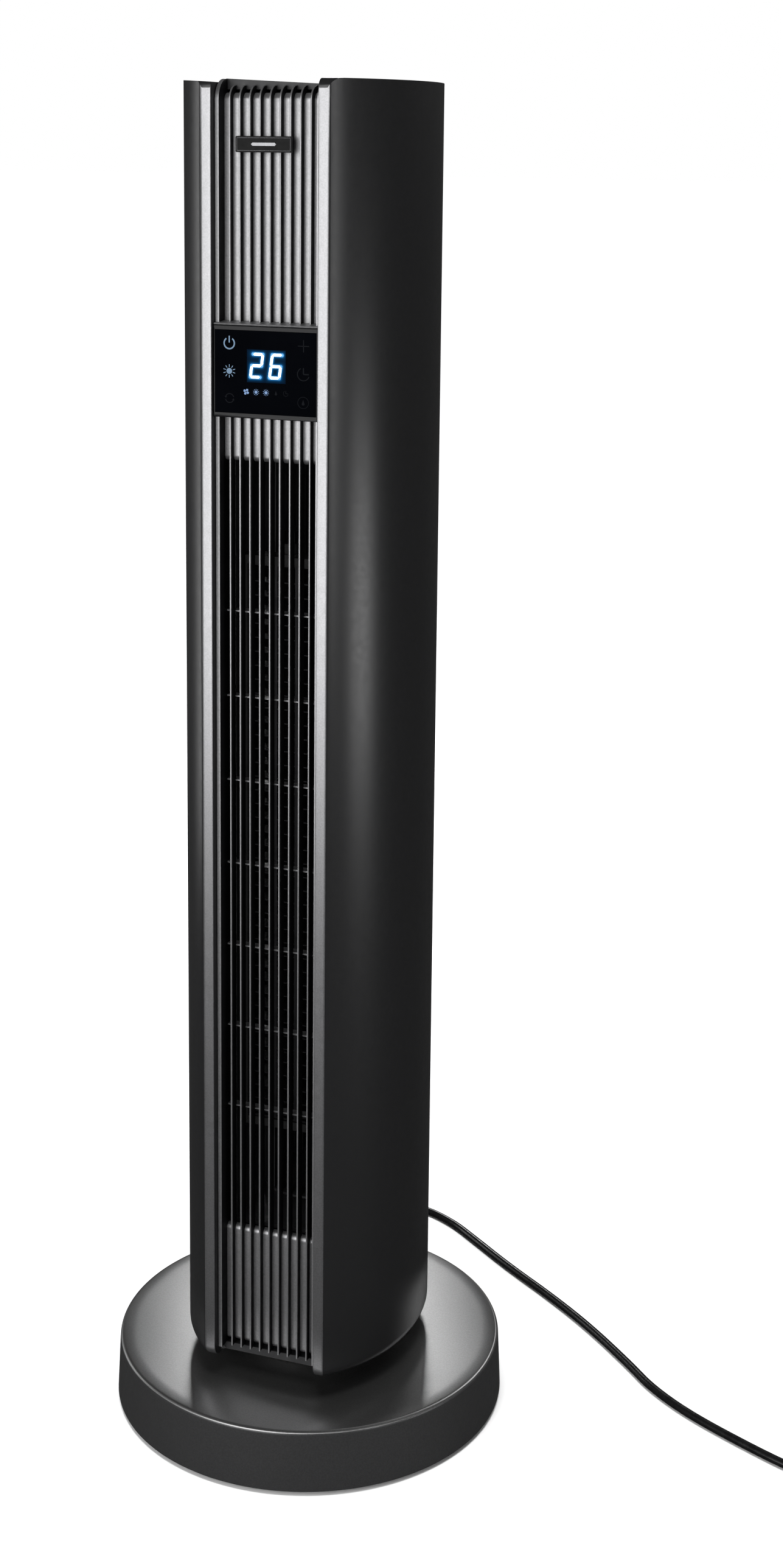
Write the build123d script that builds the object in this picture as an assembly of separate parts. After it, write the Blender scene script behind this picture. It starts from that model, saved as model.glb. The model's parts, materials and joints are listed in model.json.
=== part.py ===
from build123d import *
import os
from math import acos, cos, degrees, pi, radians, sin, sqrt, tan

# Oscillating tower fan with a ceramic heater. Millimetres, +Z up, front towards -Y.
# The origin is the centre of the base on the floor.

# ------------------------------------------------------------------ driving dimensions
# general
WALL = 2.5                    # moulded casing wall
FIT_GAP = 0.3                 # between casing pieces that do not touch
RUNNING_CLEARANCE = 0.05      # radial, shaft or hub in its bush
THREAD_RADIUS = 1.5           # casing screws

# column casing
TOTAL_HEIGHT = 966.0          # floor to the top of the column
COLUMN_BOTTOM_Z = 60.0        # lower edge of the side panels
COLUMN_HALF_WIDTH = 86.0      # ellipse of the plan, across
COLUMN_HALF_DEPTH = 107.0     # ellipse of the plan, front to back
COLUMN_FLAT_Y = 91.0          # the ellipse is cut flat here, front and back
TOP_ROLL_RADIUS = 6.5         # the front and the back roll over into the top
LEFT_TOP_DROP = 2.6           # the left panel's top falls by this much towards the channel
SPARE_HEIGHT = 10.0           # the block is made this much too tall before its top is cut
BOTTOM_BEVEL = 6.0            # round the lower edge of the panels
CHANNEL_HALF_WIDTH = 37.8     # between the two front strips
RETURN_DEPTH = 25.0           # the panel edges turn in by this much
FLANGE_INSET = 15.0           # opening in the bottom of the panels
FOOT_FLANGE = 3.0             # thickness of the foot's flange inside the panels
FOOT_SCREW_Y = 18.0
FOOT_LEDGE_INSET = 11.0       # the foot's ledge inside the panels

# front grille
FIN_COUNT = 9
FIN_PITCH = 7.2
FIN_THICKNESS = 1.2
BORDER_WIDTH = 2.9
BORDER_SETBACK = 6.0          # border face behind the front strips
FIN_SETBACK = 10.0            # fin face behind the front strips
FLOOR_SETBACK = 15.0          # closed floor between the fins
FIN_DEPTH = 8.0
RUNG_DEPTH = 6.0
RUNG_HEIGHT = 1.2
RUNG_SPACING = 60.0
GRILLE_DEPTH = 31.0           # border, from the front strips backwards
GRILLE_BOTTOM_Z = 66.5
OUTLET_BOTTOM_Z = 158.4
OUTLET_TOP_Z = 712.6
TOP_CURVE_RADIUS = 10.0       # fins curve back over the top edge

# display
DISPLAY_BOTTOM_Z = 743.6
DISPLAY_TOP_Z = 806.0
GLASS_WIDTH = 72.4
GLASS_BOTTOM_Z = 747.0
GLASS_TOP_Z = 802.0
GLASS_THICKNESS = 2.0
DISPLAY_SETBACK = 2.4         # bezel face behind the front strips
DISPLAY_DEPTH = 16.0

# badge plate on the upper fins
BADGE_WIDTH = 40.0
BADGE_HEIGHT = 10.5
BADGE_Z = 923.5
BADGE_X = -3.6

# blower
BLOWER_Y = 16.0
WHEEL_RADIUS = 42.0
WHEEL_BLADES = 32
WHEEL_RINGS = 6
SHAFT_RADIUS = 4.0
LOWER_DECK_Z = 152.0
UPPER_DECK_Z = 716.0
DECK_THICKNESS = 3.0
WHEEL_END_GAP = 5.0
DUCT_WALL = 2.0
DUCT_CLEARANCE = 7.0
TONGUE_CLEARANCE = 3.5
TONGUE_SIDE_GAP = 6.1         # middle of the tongue's wall to the side of the heater's core
MOTOR_RADIUS = 28.5
MOTOR_HEIGHT = 46.0
MOTOR_DROP = 6.0              # motor cap below the lower deck

# heater
HEATER_WIDTH = 60.0
HEATER_DEPTH = 14.0
HEATER_BOTTOM_Z = 230.0
HEATER_TOP_Z = 640.0
HEATER_Y = -44.0
HEATER_FIN_PITCH = 10.0
HEATER_FIN_THICKNESS = 0.8

# base
BASE_RIM_RADIUS = 142.0
BASE_FOOT_RADIUS = 144.0
BASE_TOP_Z = 46.9
BASE_RIM_FILLET = 3.0
FOOT_HEIGHT = 3.0
FOOT_RADIUS = 10.0
FOOT_COUNT = 5
FOOT_CIRCLE = 124.0
BASE_SCREW_CIRCLE = 128.0
PLATE_THICKNESS = 2.6
BALLAST_INNER = 80.0
BALLAST_OUTER = 112.0
BALLAST_HEIGHT = 13.0

# swivel
NECK_RADIUS = 55.0
NECK_GAP = 1.6                # neck above the top of the base
HUB_RADIUS = 34.0
HUB_WALL = 6.0
BUSH_WALL = 4.0
BUSH_LENGTH = 14.0
GEAR_MODULE = 2.0
SWIVEL_TEETH = 48
PINION_TEETH = 12
GEAR_THICKNESS = 7.0
GEAR_BACKLASH = 0.35
OSCILLATION_MOTOR_RADIUS = 14.0
PINION_SHAFT_RADIUS = 2.5

# tip-over switch
SWITCH_CIRCLE = 68.0
SWITCH_ANGLE = -90.0
PLUNGER_RADIUS = 3.0
PLUNGER_TIP_Z = 0.3

# mains lead
CORD_DIAMETER = 6.2
CORD_EXIT_ANGLE = 110.0       # round the base from +X
CORD_EXIT_Z = 14.0
RELIEF_LENGTH = 34.0
RELIEF_ROOT_RADIUS = 6.0
RELIEF_TIP_RADIUS = 4.0
COIL_CENTRE = (415.0, 34.0)
COIL_RADIUS = 35.0
COIL_WIDTH = 18.6
COIL_HEIGHT = 12.2
TIE_THICKNESS = 1.0
TIE_WIDTH = 12.0
PLUG_RADIUS = 18.5
PLUG_HEIGHT = 18.0
PLUG_PIN_RADIUS = 2.4
PLUG_PIN_LENGTH = 19.0
PLUG_PIN_SPACING = 19.0

# points of the lead, from the tip of the strain relief to the coil
CORD_POINTS = [
    (-71.8, 197.4, 8.0),
    (-75.9, 230.1, 3.6),
    (-61.4, 259.8, 3.3),
    (-32.9, 274.9, 3.3),
    (0.0, 275.0, 3.3),
    (31.0, 259.8, 3.3),
    (56.0, 239.5, 3.3),
    (98.0, 205.0, 3.3),
    (141.0, 173.5, 3.3),
    (183.0, 139.0, 3.3),
    (226.0, 97.0, 3.3),
    (247.0, 74.0, 3.3),
    (280.0, 50.0, 3.3),
    (325.0, 27.0, 3.3),
    (366.0, 8.5, 3.6),
    (404.0, -1.5, 4.4),
]
TAIL_ROUTE = [
    (457.5, 36.0, 9.6),
    (460.5, 53.0, 6.4),
    (467.0, 70.0, 5.4),
    (472.0, 87.0, 8.0),
]

# ------------------------------------------------------------------ derived values
FRONT_Y = -COLUMN_FLAT_Y
BASE_INNER_TOP_Z = BASE_TOP_Z - WALL
PLATE_TOP_Z = FOOT_HEIGHT + PLATE_THICKNESS
BUSH_BOTTOM_Z = BASE_TOP_Z - BUSH_LENGTH
GEAR_TOP_Z = BUSH_BOTTOM_Z - 1.5
GEAR_BOTTOM_Z = GEAR_TOP_Z - GEAR_THICKNESS
HUB_BOTTOM_Z = GEAR_BOTTOM_Z
GEAR_CENTRES = GEAR_MODULE * (SWIVEL_TEETH + PINION_TEETH) / 2
NECK_BOTTOM_Z = BASE_TOP_Z + NECK_GAP
FOOT_FLANGE_Z = COLUMN_BOTTOM_Z + WALL + 0.2
WHEEL_BOTTOM_Z = LOWER_DECK_Z + DECK_THICKNESS + WHEEL_END_GAP
WHEEL_TOP_Z = UPPER_DECK_Z - WHEEL_END_GAP
MOTOR_TOP_Z = LOWER_DECK_Z - MOTOR_DROP
MOTOR_BOTTOM_Z = MOTOR_TOP_Z - MOTOR_HEIGHT

parts = {}


# ------------------------------------------------------------------ helpers
def block(low, high):
    """Box from its lowest to its highest corner."""
    size = [high[i] - low[i] for i in range(3)]
    centre = [(high[i] + low[i]) / 2 for i in range(3)]
    return Pos(*centre) * Box(*size)


def tube(radius, height, z, bore=0.0, x=0.0, y=0.0):
    """Upright cylinder or ring whose lower face is at z."""
    body = Pos(x, y, z + height / 2) * Cylinder(radius, height)
    if bore > 0:
        body -= Pos(x, y, z + height / 2) * Cylinder(bore, height + 2)
    return body


def ring_points(count, radius, start=0.0):
    """Points evenly spaced round a circle."""
    steps = [radians(start + 360.0 * i / count) for i in range(count)]
    return [(radius * cos(a), radius * sin(a)) for a in steps]


def turned(profile):
    """Solid of revolution from (radius, z) points."""
    return revolve(Plane.XZ * make_face(Polyline(*profile, close=True)), Axis.Z)


def screw(length, radius=THREAD_RADIUS):
    """Pan-head screw, head up, with a cross recess; the shank hangs below z = 0."""
    head = Pos(0, 0, radius * 0.6) * Cylinder(radius * 2.0, radius * 1.2)
    head = fillet(head.edges().group_by(Axis.Z)[-1], radius * 0.7)
    slot = Box(radius * 2.4, radius * 0.5, radius) + Box(radius * 0.5, radius * 2.4, radius)
    head -= Pos(0, 0, radius * 1.2) * slot
    return head + Pos(0, 0, -length / 2) * Cylinder(radius, length)


def group(pieces):
    """Several separate solids in one node."""
    return Compound([solid for piece in pieces for solid in piece.solids()])


# ------------------------------------------------------------------ column casing
def plan(inset):
    """Plan of the column: an ellipse cut flat at the front and at the back."""
    oval = Ellipse(COLUMN_HALF_WIDTH - inset, COLUMN_HALF_DEPTH - inset)
    return oval & Rectangle(4 * COLUMN_HALF_WIDTH, 2 * (COLUMN_FLAT_Y - inset))


def column_block(inset):
    """Block of the column's plan, from its bevelled bottom up past its top."""
    height = TOTAL_HEIGHT + SPARE_HEIGHT - COLUMN_BOTTOM_Z - inset
    body = Pos(0, 0, COLUMN_BOTTOM_Z + inset) * extrude(plan(inset), height)
    bevel = BOTTOM_BEVEL - inset * (2 - sqrt(2))
    return chamfer(body.edges().group_by(Axis.Z)[0], bevel)


def roll_offcut(side, inset):
    """What is cut away so that the front (-1) or the back (+1) rolls over into the top."""
    radius = TOP_ROLL_RADIUS - inset
    y, z = side * (COLUMN_FLAT_Y - inset - radius), TOTAL_HEIGHT - inset - radius
    y_low, y_high = sorted((y, y + side * (radius + 1)))
    corner = block((-COLUMN_HALF_WIDTH, y_low, z), (COLUMN_HALF_WIDTH, y_high, TOTAL_HEIGHT + 1))
    return corner - Pos(0, y, z) * Rot(0, 90, 0) * Cylinder(radius, 3 * COLUMN_HALF_WIDTH)


def shaped_top(body, inset):
    """Cuts the block at its top: rolled over at both ends, and falling inwards on the left."""
    top, low_x = TOTAL_HEIGHT - inset, -CHANNEL_HALF_WIDTH - inset
    far_x, high = 2 * COLUMN_HALF_WIDTH, TOTAL_HEIGHT + 2 * SPARE_HEIGHT
    line = [
        (-far_x, top), (-COLUMN_HALF_WIDTH, top), (low_x, top - LEFT_TOP_DROP),
        (low_x, top), (far_x, top), (far_x, high), (-far_x, high),
    ]
    above = extrude(Plane.XZ * make_face(Polyline(*line, close=True)), 2 * COLUMN_HALF_DEPTH, both=True)
    return body - above - roll_offcut(-1, inset) - roll_offcut(1, inset)


OUTER = shaped_top(column_block(0.0), 0.0)
INNER = shaped_top(column_block(WALL), WALL)
SHELL = OUTER - INNER


def side_slice(side, x_from, x_to, y_from, y_to):
    """Upright slab on one side, taller than the column."""
    low, high = sorted((side * x_from, side * x_to))
    return block((low, y_from, 0), (high, y_to, TOTAL_HEIGHT + 20))


BOSS_Y = 40.0
BOSS_RADIUS = 5.0
BOSS_HEIGHT = 14.0
INLET_SLOT_WIDTH = 4.0
INLET_SLOT_PITCH = 7.2
INLET_ROWS = 4
INLET_ROW_GAP = 10.0
PANEL_INLET_SLOTS = 4


def boss_x():
    """Across position of the deck bosses, which run into the panel wall."""
    inner_x = (COLUMN_HALF_WIDTH - WALL) * sqrt(1 - (BOSS_Y / (COLUMN_HALF_DEPTH - WALL)) ** 2)
    return inner_x - BOSS_RADIUS - 1.0


def foot_screw_places():
    """Screws that hold the foot to the lower lips of the side panels."""
    x = COLUMN_HALF_WIDTH - FLANGE_INSET + 2.0
    return [(side * x, y) for side in (-1, 1) for y in (-FOOT_SCREW_Y, FOOT_SCREW_Y)]


def inlet_rows():
    """Lower and upper ends of each row of inlet slots."""
    height = (OUTLET_TOP_Z - OUTLET_BOTTOM_Z - (INLET_ROWS - 1) * INLET_ROW_GAP) / INLET_ROWS
    starts = [OUTLET_BOTTOM_Z + row * (height + INLET_ROW_GAP) for row in range(INLET_ROWS)]
    return [(z, z + height) for z in starts]


def inlet_slots(xs):
    """Upright slots through the back of the casing."""
    half, cuts = INLET_SLOT_WIDTH / 2, []
    for x in xs:
        for low, high in inlet_rows():
            cuts.append(block((x - half, 20, low), (x + half, 120, high)))
    return cuts


def side_panel(side):
    """Left (-1) or right (+1) casing panel with its front strip and its inlet slots."""
    panel = SHELL & side_slice(side, CHANNEL_HALF_WIDTH, 120, -120, 120)
    inner_x = CHANNEL_HALF_WIDTH + WALL
    front = (FRONT_Y, FRONT_Y + RETURN_DEPTH)
    back = (COLUMN_FLAT_Y - RETURN_DEPTH, COLUMN_FLAT_Y)
    for y_from, y_to in (front, back):
        panel += OUTER & side_slice(side, CHANNEL_HALF_WIDTH, inner_x, y_from, y_to)
    for deck in (LOWER_DECK_Z, UPPER_DECK_Z):
        for y in (-BOSS_Y, BOSS_Y):
            boss = tube(BOSS_RADIUS, BOSS_HEIGHT, deck - BOSS_HEIGHT, x=side * boss_x(), y=y)
            web = side_slice(side, boss_x(), COLUMN_HALF_WIDTH, y - 1.5, y + 1.5)
            web &= block((-120, -120, deck - BOSS_HEIGHT), (120, 120, deck))
            panel += (boss + web) & INNER
            panel -= tube(THREAD_RADIUS, BOSS_HEIGHT, deck - BOSS_HEIGHT + 2, x=side * boss_x(), y=y)
    first = CHANNEL_HALF_WIDTH + WALL + INLET_SLOT_PITCH
    xs = [side * (first + i * INLET_SLOT_PITCH) for i in range(PANEL_INLET_SLOTS)]
    panel -= inlet_slots(xs)
    foot_height = FOOT_FLANGE_Z + FOOT_FLANGE + FIT_GAP - COLUMN_BOTTOM_Z
    panel -= Pos(0, 0, COLUMN_BOTTOM_Z) * extrude(plan(FLANGE_INSET), foot_height)
    for x, y in foot_screw_places():
        panel -= tube(THREAD_RADIUS, 3 * WALL, COLUMN_BOTTOM_Z - WALL, x=x, y=y)
    return panel


REAR_COVER_BOTTOM_Z = 70.0
REAR_COVER_TOP_Z = 957.0
REAR_INLET_SLOTS = 9


def rear_screw_places():
    """Screws of the rear cover, near its two ends and its middle."""
    edge_x = CHANNEL_HALF_WIDTH - 6.0
    return [(side * edge_x, z) for side in (-1, 1) for z in (110.0, 760.0, 930.0)]


def rear_cover():
    """Flat inlet cover between the panels at the back."""
    half = CHANNEL_HALF_WIDTH - FIT_GAP
    y_out = COLUMN_FLAT_Y - 0.6
    cover = block((-half, y_out - WALL, REAR_COVER_BOTTOM_Z), (half, y_out, REAR_COVER_TOP_Z))
    cover = fillet(cover.edges().filter_by(Axis.Y), 3.0)
    xs = [(i - (REAR_INLET_SLOTS - 1) / 2) * INLET_SLOT_PITCH for i in range(REAR_INLET_SLOTS)]
    cover -= inlet_slots(xs)
    for side in (-1, 1):
        x_low, x_high = sorted((side * (half - 2.0), side * half))
        low = (x_low, y_out - 14, REAR_COVER_BOTTOM_Z + 5)
        cover += block(low, (x_high, y_out - WALL, REAR_COVER_TOP_Z - 5))
    for x, z in rear_screw_places():
        cover -= Pos(x, y_out, z) * Rot(90, 0, 0) * Cylinder(THREAD_RADIUS + 0.2, 20)
    return cover


def dust_filter():
    """Removable filter frame with cross bars, just inside the rear cover."""
    half = CHANNEL_HALF_WIDTH - FIT_GAP - 2.6
    y_out = COLUMN_FLAT_Y - 0.6 - WALL - 0.2
    low, high = OUTLET_BOTTOM_Z - 4, OUTLET_TOP_Z + 3
    frame = block((-half, y_out - 3, low), (half, y_out, high))
    cells = 8
    step = (high - low) / cells
    for i in range(cells):
        z_low, z_high = low + i * step + 2.5, low + (i + 1) * step - 2.5
        frame -= block((-half + 4, y_out - 4, z_low), (-1.5, y_out + 1, z_high))
        frame -= block((1.5, y_out - 4, z_low), (half - 4, y_out + 1, z_high))
    mesh = block((-half + 3, y_out - 1.9, low + 1.5), (half - 3, y_out - 1.1, high - 1.5))
    return frame + mesh


def top_cover():
    """Strip between the panels on top, with a lip that falls from left to right."""
    half = CHANNEL_HALF_WIDTH - FIT_GAP
    top = TOTAL_HEIGHT
    outline = [
        (-half, top - 7.0),
        (-half, top - 3.0),
        (-half + 1.8, top),
        (half - 8.0, top - 3.1),
        (half - 6.8, top - 3.9),
        (half, top - 3.9),
        (half, top - 7.0),
    ]
    face = Plane.XZ * make_face(Polyline(*outline, close=True))
    front = -CURVE_Y - 0.7 - FIT_GAP
    back = COLUMN_FLAT_Y - TOP_ROLL_RADIUS
    cover = Pos(0, back, 0) * extrude(face, front + back)
    tail_low = (-half, back - 0.01, REAR_COVER_TOP_Z + FIT_GAP)
    tail = block(tail_low, (half, COLUMN_FLAT_Y - 0.6, top - 3.9))
    tail = fillet(tail.edges().filter_by(Axis.X).group_by(Axis.Y)[-1].group_by(Axis.Z)[-1], 4.0)
    return cover + tail


# ------------------------------------------------------------------ front grille
FIN_TOP_Z = TOTAL_HEIGHT - 4.2
CURVE_Y = FRONT_Y + FIN_SETBACK + TOP_CURVE_RADIUS
CURVE_Z = FIN_TOP_Z - TOP_CURVE_RADIUS


def swept_back(front_y, bottom_z, back_y):
    """Outline in Y and Z of a wall that runs up the front and curves back over the top."""
    radius = CURVE_Y - front_y
    top_z = CURVE_Z + radius
    side = Line((front_y, bottom_z), (front_y, CURVE_Z))
    curve = CenterArc((CURVE_Y, CURVE_Z), radius, 90, 90)
    rest = Polyline((CURVE_Y, top_z), (back_y, top_z), (back_y, bottom_z), (front_y, bottom_z))
    return Plane.YZ * make_face([side, curve, *rest.edges()])


def front_grille():
    """Front insert: border, upright fins, rungs behind them and closed floors."""
    half = CHANNEL_HALF_WIDTH - FIT_GAP
    border_y = FRONT_Y + BORDER_SETBACK
    fin_y = FRONT_Y + FIN_SETBACK
    floor_y = FRONT_Y + FLOOR_SETBACK
    back_y = FRONT_Y + GRILLE_DEPTH
    top_back_y = CURVE_Y + 0.7
    border = swept_back(border_y, GRILLE_BOTTOM_Z, top_back_y)
    body = Pos(half - BORDER_WIDTH, 0, 0) * extrude(border, BORDER_WIDTH)
    body += Pos(-half, 0, 0) * extrude(border, BORDER_WIDTH)
    for side in (-1, 1):
        low, high = sorted((side * (half - BORDER_WIDTH), side * half))
        body += block((low, top_back_y - 1, GRILLE_BOTTOM_Z), (high, back_y, CURVE_Z))
    floor = swept_back(floor_y, DISPLAY_TOP_Z, top_back_y)
    body += Pos(-half, 0, 0) * extrude(floor, 2 * half)
    body += block((-half, floor_y, OUTLET_TOP_Z), (half, floor_y + 4, DISPLAY_BOTTOM_Z))
    body += block((-half, floor_y, GRILLE_BOTTOM_Z + 1.8), (half, floor_y + 4, OUTLET_BOTTOM_Z))
    rungs_y = fin_y + FIN_DEPTH
    count = round((OUTLET_TOP_Z - OUTLET_BOTTOM_Z) / RUNG_SPACING) - 2
    for i in range(count):
        z = OUTLET_TOP_Z - 104.0 - i * RUNG_SPACING
        low = (-half, rungs_y - 0.6, z - RUNG_HEIGHT / 2)
        body += block(low, (half, rungs_y + RUNG_DEPTH, z + RUNG_HEIGHT / 2))
    web = extrude(swept_back(fin_y, GRILLE_BOTTOM_Z, top_back_y), FIN_THICKNESS)
    web -= block((-5, rungs_y, 0), (5, 100, CURVE_Z - 5))
    for i in range(FIN_COUNT):
        x = (i - (FIN_COUNT - 1) / 2) * FIN_PITCH - FIN_THICKNESS / 2
        body += Pos(x, 0, 0) * web
    window_back = FRONT_Y + DISPLAY_SETBACK + DISPLAY_DEPTH + FIT_GAP
    body -= block((-50, -120, DISPLAY_BOTTOM_Z - FIT_GAP), (50, window_back, DISPLAY_TOP_Z + FIT_GAP))
    return body


def badge_plate():
    """Blank plate on the upper fins."""
    y = FRONT_Y + FIN_SETBACK
    plate = block(
        (BADGE_X - BADGE_WIDTH / 2, y - 2.0, BADGE_Z - BADGE_HEIGHT / 2),
        (BADGE_X + BADGE_WIDTH / 2, y, BADGE_Z + BADGE_HEIGHT / 2),
    )
    plate = fillet(plate.edges().filter_by(Axis.Y), 0.8)
    return chamfer(plate.faces().sort_by(Axis.Y)[0].edges(), 0.4)


# ------------------------------------------------------------------ display
def display_bezel():
    """Black frame that carries the glass."""
    half = CHANNEL_HALF_WIDTH - FIT_GAP
    y = FRONT_Y + DISPLAY_SETBACK
    bezel = block((-half, y, DISPLAY_BOTTOM_Z), (half, y + DISPLAY_DEPTH, DISPLAY_TOP_Z))
    front_edges = bezel.edges().filter_by(Axis.X).group_by(Axis.Y)[0]
    bezel = fillet(front_edges, 0.8)
    pocket = GLASS_WIDTH / 2 + 0.15
    low = (-pocket, y - 1, GLASS_BOTTOM_Z - 0.15)
    bezel -= block(low, (pocket, y + GLASS_THICKNESS, GLASS_TOP_Z + 0.15))
    inner = half - 3.5
    return bezel - block((-inner, y, GLASS_BOTTOM_Z + 2), (inner, y + 40, GLASS_TOP_Z - 2))


def display_glass():
    y = FRONT_Y + DISPLAY_SETBACK
    half = GLASS_WIDTH / 2
    glass = block((-half, y - 0.3, GLASS_BOTTOM_Z), (half, y + GLASS_THICKNESS - 0.05, GLASS_TOP_Z))
    return fillet(glass.edges().filter_by(Axis.Y), 0.6)


BOARD_Y = FRONT_Y + DISPLAY_SETBACK + 11.0
DISPLAY_MIDDLE_Z = (GLASS_BOTTOM_Z + GLASS_TOP_Z) / 2


def display_board():
    board = block((-33, BOARD_Y, GLASS_BOTTOM_Z + 2.5), (33, BOARD_Y + 1.6, GLASS_TOP_Z - 2.5))
    for x in (-29, 29):
        for z in (GLASS_BOTTOM_Z + 6, GLASS_TOP_Z - 6):
            board -= Pos(x, BOARD_Y, z) * Rot(90, 0, 0) * Cylinder(1.6, 10)
    return board


def digit_module():
    """Two seven-segment digits in one block."""
    middle = DISPLAY_MIDDLE_Z
    body = block((-15, BOARD_Y - 7.2, middle - 12), (15, BOARD_Y, middle + 12))
    return chamfer(body.faces().sort_by(Axis.Y)[0].edges(), 0.8)


def touch_pads():
    """Light and touch blocks behind the six icons."""
    pads = []
    for x in (-27, 27):
        for dz in (-20, 0, 20):
            z = DISPLAY_MIDDLE_Z + dz
            pads.append(block((x - 4.5, BOARD_Y - 6.5, z - 4.5), (x + 4.5, BOARD_Y, z + 4.5)))
    return group(pads)


# ------------------------------------------------------------------ decks, duct and blower
def deck_plate(z):
    """Plate across the column with room for the panel returns and the front and rear pieces."""
    deck = Pos(0, 0, z) * extrude(plan(WALL + FIT_GAP), DECK_THICKNESS)
    reach = COLUMN_FLAT_Y - RETURN_DEPTH - FIT_GAP
    wide = CHANNEL_HALF_WIDTH + WALL + FIT_GAP
    front = FRONT_Y + GRILLE_DEPTH + 0.5
    deck -= block((-wide, -120, z - 1), (wide, -reach, z + DECK_THICKNESS + 1))
    deck -= block((-wide, reach, z - 1), (wide, 120, z + DECK_THICKNESS + 1))
    low = (-CHANNEL_HALF_WIDTH, -120, z - 1)
    deck -= block(low, (CHANNEL_HALF_WIDTH, front, z + DECK_THICKNESS + 1))
    for side in (-1, 1):
        for y in (-BOSS_Y, BOSS_Y):
            deck -= tube(THREAD_RADIUS + 0.2, DECK_THICKNESS + 2, z - 1, x=side * boss_x(), y=y)
    return deck


def lower_deck():
    deck = deck_plate(LOWER_DECK_Z)
    deck -= tube(SHAFT_RADIUS + 6, DECK_THICKNESS + 2, LOWER_DECK_Z - 1, y=BLOWER_Y)
    for x, y in ring_points(4, MOTOR_RADIUS + 6, 45):
        deck -= tube(THREAD_RADIUS + 0.2, DECK_THICKNESS + 2, LOWER_DECK_Z - 1, x=x, y=y + BLOWER_Y)
    return deck


def upper_deck():
    deck = deck_plate(UPPER_DECK_Z)
    deck += tube(14, 6, UPPER_DECK_Z, y=BLOWER_Y)
    return deck - tube(SHAFT_RADIUS + 5, 20, UPPER_DECK_Z - 1, y=BLOWER_Y)


def upper_bearing():
    return tube(SHAFT_RADIUS + 5, 8, UPPER_DECK_Z - 1, SHAFT_RADIUS + RUNNING_CLEARANCE, y=BLOWER_Y)


DUCT_RADIUS = WHEEL_RADIUS + DUCT_CLEARANCE
DUCT_START = 78.0
DUCT_END = -28.0
TONGUE_START = 198.0
TONGUE_RADIUS = WHEEL_RADIUS + TONGUE_CLEARANCE
TONGUE_X = HEATER_WIDTH / 2 + TONGUE_SIDE_GAP
TONGUE_END = 180 + degrees(acos(TONGUE_X / TONGUE_RADIUS))


def duct_wall(path):
    """Upright sheet along a path, between the two decks."""
    low = LOWER_DECK_Z + DECK_THICKNESS
    return Pos(0, 0, low) * extrude(trace(path, DUCT_WALL), UPPER_DECK_Z - low)


def outlet_corner(side):
    return (side * (HEATER_WIDTH / 2 + 5.5), FRONT_Y + GRILLE_DEPTH + 1.5)


def scroll_wall():
    """Curved wall round the wheel on the right, running out to the front."""
    arc = CenterArc((0, BLOWER_Y), DUCT_RADIUS, DUCT_END, DUCT_START - DUCT_END)
    run = Line(arc @ 0, outlet_corner(1))
    return duct_wall(arc + run)


def tongue_wall():
    """Short wall on the left that keeps the air from turning back and passes the heater."""
    size = TONGUE_END - TONGUE_START
    arc = CenterArc((0, BLOWER_Y), TONGUE_RADIUS, TONGUE_START, size)
    run = Line(arc @ 1, outlet_corner(-1))
    return duct_wall(arc + run)


def blower_wheel():
    """Cross-flow wheel: straight blades between rings, with a hub at each end."""
    height = WHEEL_TOP_Z - WHEEL_BOTTOM_Z
    ring_width = 9.0
    thickness = 1.6
    blade = Rectangle(ring_width - 0.5, 1.0)
    middle = WHEEL_RADIUS - ring_width / 2
    angles = [360 * i / WHEEL_BLADES for i in range(WHEEL_BLADES)]
    blades = [Rot(0, 0, angle) * Pos(middle, 0) * Rot(0, 0, 28) * blade for angle in angles]
    wheel = extrude(Sketch() + blades, height)
    for i in range(WHEEL_RINGS):
        z = i * (height - thickness) / (WHEEL_RINGS - 1)
        bore = SHAFT_RADIUS if i in (0, WHEEL_RINGS - 1) else WHEEL_RADIUS - ring_width
        wheel += tube(WHEEL_RADIUS, thickness, z, bore)
    for z in (0, height - 12):
        wheel += tube(9, 12, z, SHAFT_RADIUS)
    return Pos(0, BLOWER_Y, WHEEL_BOTTOM_Z) * wheel


def wheel_shaft():
    low, high = MOTOR_BOTTOM_Z - 4, UPPER_DECK_Z + 9
    shaft = tube(SHAFT_RADIUS, high - low, low, y=BLOWER_Y)
    return chamfer(shaft.edges().group_by(Axis.Z)[-1], 0.6)


# ------------------------------------------------------------------ blower motor
def motor_can():
    can = tube(MOTOR_RADIUS, MOTOR_HEIGHT - 3, MOTOR_BOTTOM_Z, y=BLOWER_Y)
    can = fillet(can.edges().group_by(Axis.Z)[0], 2.0)
    can -= tube(MOTOR_RADIUS - 2, MOTOR_HEIGHT, MOTOR_BOTTOM_Z + 3, y=BLOWER_Y)
    return can - tube(SHAFT_RADIUS + RUNNING_CLEARANCE, 10, MOTOR_BOTTOM_Z - 1, y=BLOWER_Y)


def motor_cap():
    """Cap with four ears for the screws."""
    low = MOTOR_TOP_Z - 3
    cap = tube(MOTOR_RADIUS, 3, low)
    for x, y in ring_points(4, MOTOR_RADIUS + 6, 45):
        angle = 45 if x * y > 0 else -45
        cap += tube(5, 3, low, x=x, y=y)
        cap += Pos(x * 0.85, y * 0.85, low + 1.5) * Rot(0, 0, angle) * Box(14, 8, 3)
        cap -= tube(THREAD_RADIUS + 0.2, 5, low - 1, x=x, y=y)
    cap -= tube(SHAFT_RADIUS + RUNNING_CLEARANCE, 10, low - 1)
    return Pos(0, BLOWER_Y, 0) * cap


STATOR_BORE = 16.0
ROTOR_GAP = 0.6
STACK_LOW = 8.0               # lamination stack above the bottom of the motor
STACK_HEIGHT = 30.0


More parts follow.
